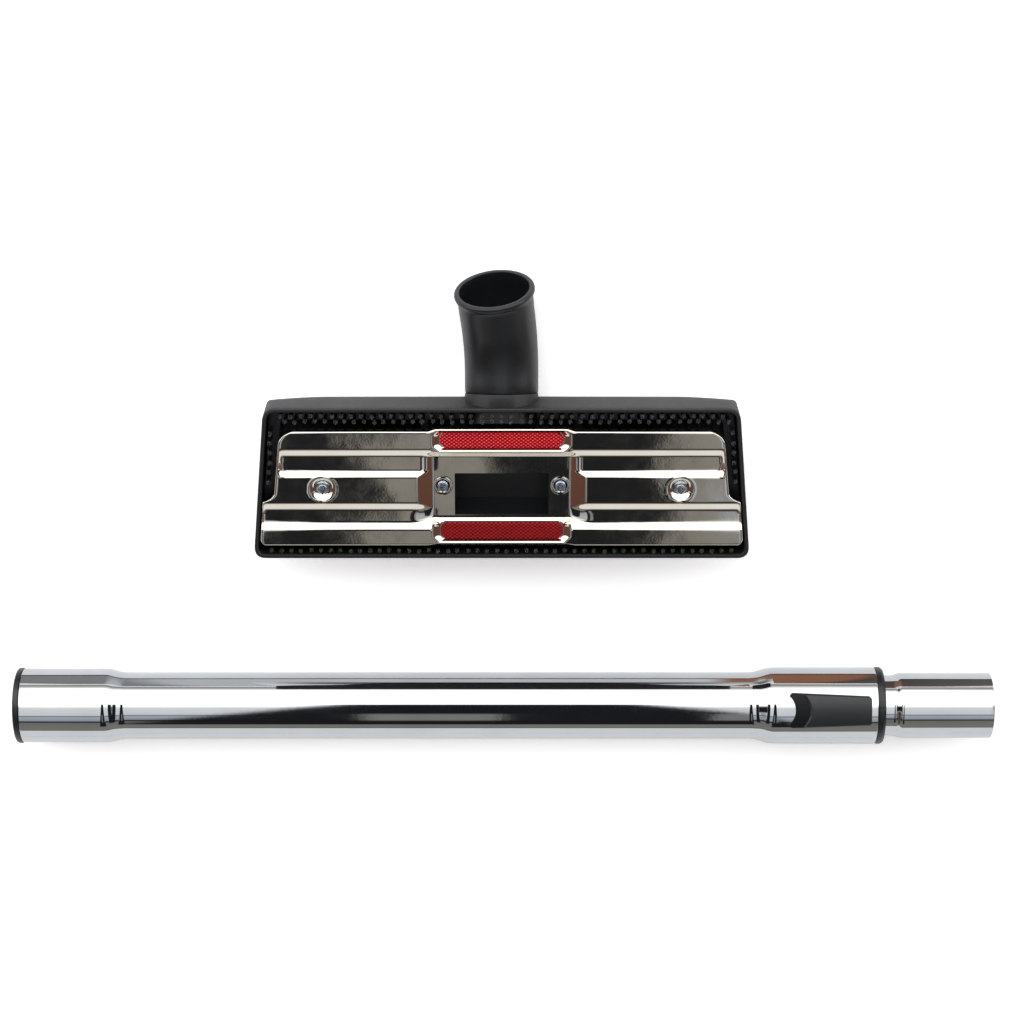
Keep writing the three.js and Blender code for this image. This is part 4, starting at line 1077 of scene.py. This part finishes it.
def build_button():
    low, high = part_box("latch_button")
    x0, x1 = low.x, high.x
    shares = np.unique(np.concatenate([np.linspace(0, 0.34, 46), np.linspace(0.34, 1, 30)]))
    across = np.linspace(-1, 1, 45)
    turn = latch_turn()
    verts = []
    for top in (True, False):
        for s in shares:
            for v in across:
                verts.append(turn @ Vector(button_point(s, v, x0, x1, top)))
    rows, cols = len(shares), len(across)
    offset = rows * cols
    faces = []
    for i in range(rows - 1):
        for j in range(cols - 1):
            a = i * cols + j
            faces.append((a, a + 1, a + cols + 1, a + cols))
            faces.append((offset + a, offset + a + cols, offset + a + cols + 1, offset + a + 1))
    rim = grid_border(rows, cols)
    for k, here in enumerate(rim):
        after = rim[(k + 1) % len(rim)]
        faces.append((here, after, offset + after, offset + here))
    obj = new_object("release_button", verts, faces, BUTTON_BLACK, 40)
    # The scoop's upward faces take the darker copy: painted shade in the hollow.
    obj.data.materials.append(SCOOP_SHADE)
    inverse = turn.inverted()
    for face in obj.data.polygons:
        at = inverse @ face.center
        half = BUTTON_HALF[0] * MM
        arc = x0 + (SCOOP_REACH - SCOOP_BOW * (at.y / half) ** 2 - 1.1) * MM
        if at.x < arc and face.normal.z > 0.5:
            face.material_index = 1
    stem_low = (x0 + 13.9 * MM, -4 * MM, 20.9 * MM)
    stem_high = (x0 + 32.9 * MM, 4 * MM, 23.4 * MM)
    boolean(obj, latch_box(stem_low, stem_high, BUTTON_BLACK), "UNION")
    shade(obj, 40)
    finish_piece(obj, "wand_button", "black_plastic", "latch_button")


# ---- CAD nodes kept, with their own finishes ----
def dress(node, material):
    obj = frame["nodes"][node]
    obj.data.materials.clear()
    obj.data.materials.append(material)


def dress_kept_nodes():
    for node in ("suction_duct", "brush_frame", "pedal", "glide_bush"):
        dress(node, BLACK)
    for node in ("pedal_shaft", "pedal_lever_left", "pedal_lever_right", "latch_pawl", "latch_spring"):
        dress(node, ZINC)
    dress("neck_seal_ring", FELT)
    dress("collar_bush", BLACK)


# ---- Studio ----
# World light by pitch, in degrees from straight up towards +Y (minus: towards -Y).
WORLD_BANDS = [
    (-100, (1.0, 1.02, 1.05)), (-63, (1.0, 1.0, 1.0)), (-61, (0.12, 0.11, 0.10)),
    (-58, (0.30, 0.28, 0.25)), (-33, (0.24, 0.23, 0.21)), (-31, (0.05, 0.05, 0.05)),
    (-28, (0.05, 0.05, 0.06)), (-26, (0.42, 0.46, 0.54)), (-14, (0.60, 0.64, 0.70)),
    (-11, (0.22, 0.22, 0.23)), (-8, (0.95, 0.95, 0.95)), (14, (1.1, 1.1, 1.08)), (24, (2.3, 2.3, 2.3)),
    (74, (2.5, 2.5, 2.5)), (81, (1.1, 1.06, 1.0)), (86, (0.42, 0.40, 0.38)), (100, (0.7, 0.7, 0.7))]
GAP_SHADE = (0.016, 0.018, 0.020)    # the dark gap beside the camera
GAP_PATCH = (0.29, 0.285, 0.27)      # two paler patches inside it
BROWN_SURROUND = (0.145, 0.072, 0.052)
CARD_REACH = 340                     # half length in mm of the cards on the floor
# Light of the cards by x in mm.
CARD_BANDS = [
    (-340, (0.30, 0.30, 0.31)), (-225, (0.34, 0.34, 0.35)), (-200, (0.70, 0.70, 0.71)),
    (120, (0.78, 0.78, 0.78)), (134, (0.40, 0.20, 0.12)), (212, (0.36, 0.17, 0.10)),
    (224, (0.12, 0.09, 0.08)), (340, (0.20, 0.19, 0.18))]
CARD_DARK = (0.05, 0.05, 0.05)       # their front edge, below the wand
CARDS = ((-340, 340, -93, -46), (-340, -150, -46, 420), (150, 340, -46, 420))  # x0, x1, y0, y1 in mm


def world_light():
    """Soft studio surround: a wide lamp on the +Y side, paler bands, and a dark gap beside the camera."""
    world = bpy.data.worlds.new("studio")
    bpy.context.scene.world = world
    world.use_nodes = True
    graph = Graph(world.node_tree)
    calc, blend = graph.math, graph.mix
    place = graph.nodes.new("ShaderNodeTexCoord")
    split = graph.nodes.new("ShaderNodeSeparateXYZ")
    graph.link(place.outputs["Generated"], split.inputs["Vector"])

    def ramp_up(value, low, high):
        node = graph.nodes.new("ShaderNodeMapRange")
        node.interpolation_type = "SMOOTHSTEP"
        node.inputs["From Min"].default_value = low
        node.inputs["From Max"].default_value = high
        graph.link(value, node.inputs["Value"])
        return node.outputs["Result"]

    def window(value, a, b, c, d):
        return calc("MULTIPLY", ramp_up(value, a, b), calc("SUBTRACT", 1.0, ramp_up(value, c, d)))

    pitch = calc("MULTIPLY", calc("ARCTAN2", split.outputs["Y"], split.outputs["Z"]), 180 / math.pi)
    squares = calc("ADD", calc("POWER", split.outputs["Y"], 2.0), calc("POWER", split.outputs["Z"], 2.0))
    slope = calc("DIVIDE", split.outputs["X"], calc("SQRT", squares))
    low, high = WORLD_BANDS[0][0], WORLD_BANDS[-1][0]
    along = calc("DIVIDE", calc("SUBTRACT", pitch, float(low)), float(high - low))
    bands = graph.ramp(along, [((angle - low) / (high - low), colour) for angle, colour in WORLD_BANDS])

    off_centre = calc("ABSOLUTE", calc("ADD", slope, 0.012))
    half_width = calc("SUBTRACT", 0.083, calc("MULTIPLY", pitch, 0.00105))
    inside = ramp_up(calc("SUBTRACT", half_width, off_centre), -0.008, 0.012)
    gap = calc("MULTIPLY", inside, window(pitch, -47, -44, 25, 28))
    beside = calc("ABSOLUTE", slope)
    legs = calc("MULTIPLY", window(beside, 0.265, 0.275, 0.42, 0.46), window(pitch, -40, -34, 24, 29))
    bar = calc("MULTIPLY", window(beside, 0.40, 0.46, 1.6, 2.0), window(pitch, -4, 2, 16, 24))
    gap = calc("MAXIMUM", gap, calc("MAXIMUM", legs, bar))
    brown = calc("MULTIPLY", window(beside, 0.46, 0.60, 6.0, 9.0), window(pitch, -62, -50, -6, 2))
    patch_left = window(slope, -0.060, -0.050, -0.012, -0.004)
    patch_right = window(slope, 0.060, 0.066, 0.084, 0.092)
    patches = calc("MULTIPLY", calc("ADD", patch_left, patch_right), window(pitch, -34, -26, -10, -2))
    shade_in_gap = blend(patches, GAP_SHADE, GAP_PATCH)
    reflected = blend(gap, blend(brown, bands, BROWN_SURROUND), shade_in_gap)
    path = graph.nodes.new("ShaderNodeLightPath")
    background = graph.nodes["Background"]
    graph.link(blend(path.outputs["Is Camera Ray"], reflected, (1.0, 1.0, 1.0)), background.inputs["Color"])
    background.inputs["Strength"].default_value = 1.0


def floor_cards():
    """Cards on the floor that only reflections see: greyer beside the tool, brown at the right."""
    s = Shader("floor_cards")
    split = s.nodes.new("ShaderNodeSeparateXYZ")
    s.link(s.place, split.inputs["Vector"])
    reach = CARD_REACH * MM
    along = s.remap(split.outputs["X"], -reach, reach)
    bands = s.ramp(along, [((x * MM + reach) / (2 * reach), colour) for x, colour in CARD_BANDS])
    edge = s.remap(split.outputs["Y"], -90 * MM, -87 * MM)
    glow = s.nodes.new("ShaderNodeEmission")
    s.link(s.mix(edge, CARD_DARK, bands), glow.inputs["Color"])
    s.link(glow.outputs["Emission"], s.nodes["Material Output"].inputs["Surface"])
    verts, faces = [], []
    for x0, x1, y0, y1 in CARDS:
        start = len(verts)
        verts += [(x0 * MM, y0 * MM, 0), (x1 * MM, y0 * MM, 0), (x1 * MM, y1 * MM, 0), (x0 * MM, y1 * MM, 0)]
        faces.append((start, start + 1, start + 2, start + 3))
    cards = new_object("reflection_cards", verts, faces, s.material)
    cards.location.z = CAD_BOUNDS[0][2] - 0.06 * MM
    cards.visible_camera = False
    cards.visible_diffuse = False
    cards.visible_shadow = False


def pale_floor():
    """A matt pale floor, lit a little from within to the camera so that its shadows stay faint."""
    s = Shader("pale_floor")
    s.set(Roughness=0.9, Specular_IOR_Level=0.0, Emission_Color=(1.0, 1.0, 1.0, 1.0))
    s.colour(s.mix(s.noise(3, 2), (0.925, 0.928, 0.93), (0.935, 0.938, 0.94)))
    path = s.nodes.new("ShaderNodeLightPath")
    s.link(s.math("MULTIPLY", path.outputs["Is Camera Ray"], 0.42), s.principled.inputs["Emission Strength"])
    reach = 8.0
    corners = [(-reach, -reach, 0), (reach, -reach, 0), (reach, reach, 0), (-reach, reach, 0)]
    floor = new_object("floor", corners, [(0, 1, 2, 3)], s.material)
    floor.location.z = CAD_BOUNDS[0][2] - 0.1 * MM


LAMP_SIZE = (1.4, 0.9)
LAMP_POWER = 9
LAMP_PLACE = (-0.5, 0.9, 1.5)


def studio_lamp():
    """A large soft lamp behind the tool, for a little shape in the shadows."""
    lamp = bpy.data.lights.new("soft_lamp", "AREA")
    lamp.shape = "RECTANGLE"
    lamp.size, lamp.size_y = LAMP_SIZE
    lamp.energy = LAMP_POWER
    obj = bpy.data.objects.new("soft_lamp", lamp)
    obj.location = LAMP_PLACE
    obj.rotation_euler = (Vector((0, -0.05, 0.03)) - obj.location).to_track_quat("-Z", "Y").to_euler()
    obj.visible_glossy = False
    bpy.context.scene.collection.objects.link(obj)


CAMERA_TILT = math.radians(20)       # from straight above towards +Y
CAMERA_DISTANCE = 1.4
CAMERA_TARGET = Vector((5.64 * MM, -21.14 * MM, 30 * MM))
CAMERA_LENS = 89.16


def add_camera():
    """Above and a little behind the tool, with +Y up in the picture."""
    back = Vector((0, math.sin(CAMERA_TILT), math.cos(CAMERA_TILT)))
    up = Vector((0, math.cos(CAMERA_TILT), -math.sin(CAMERA_TILT)))
    right = up.cross(back)
    data = bpy.data.cameras.new("camera")
    data.sensor_width = 36
    data.lens = CAMERA_LENS
    data.clip_start, data.clip_end = 0.05, 60
    camera = bpy.data.objects.new("camera", data)
    rotation = Matrix((right, up, back)).transposed()
    camera.matrix_world = Matrix.Translation(CAMERA_TARGET + back * CAMERA_DISTANCE) @ rotation.to_4x4()
    bpy.context.scene.collection.objects.link(camera)
    bpy.context.scene.camera = camera


# ---- Scene ----
add_camera()
build_housing()
build_neck()
build_sole_plate()
build_lint_strip("lint_strip_rear", RED_REAR)
build_lint_strip("lint_strip_front", RED_FRONT)
for kind, head_radius in (("plate", PLATE_SCREW_HEAD_R), ("duct", DUCT_SCREW_HEAD_R)):
    for side in ("left", "right"):
        build_screw(f"{kind}_screw_{side}", head_radius)
for row, stagger in (
        ("bristles_rear_outer", 0.0), ("bristles_rear_inner", 0.5), ("bristles_front", 0.0),
        ("bristles_left", 0.0), ("bristles_right", 0.0)):
    build_bristles(row, stagger)
build_outer_tube()
build_inner_tube()
build_bushes()
build_button()
dress_kept_nodes()
world_light()
pale_floor()
floor_cards()
studio_lamp()
bpy.context.scene.view_settings.view_transform = "Standard"
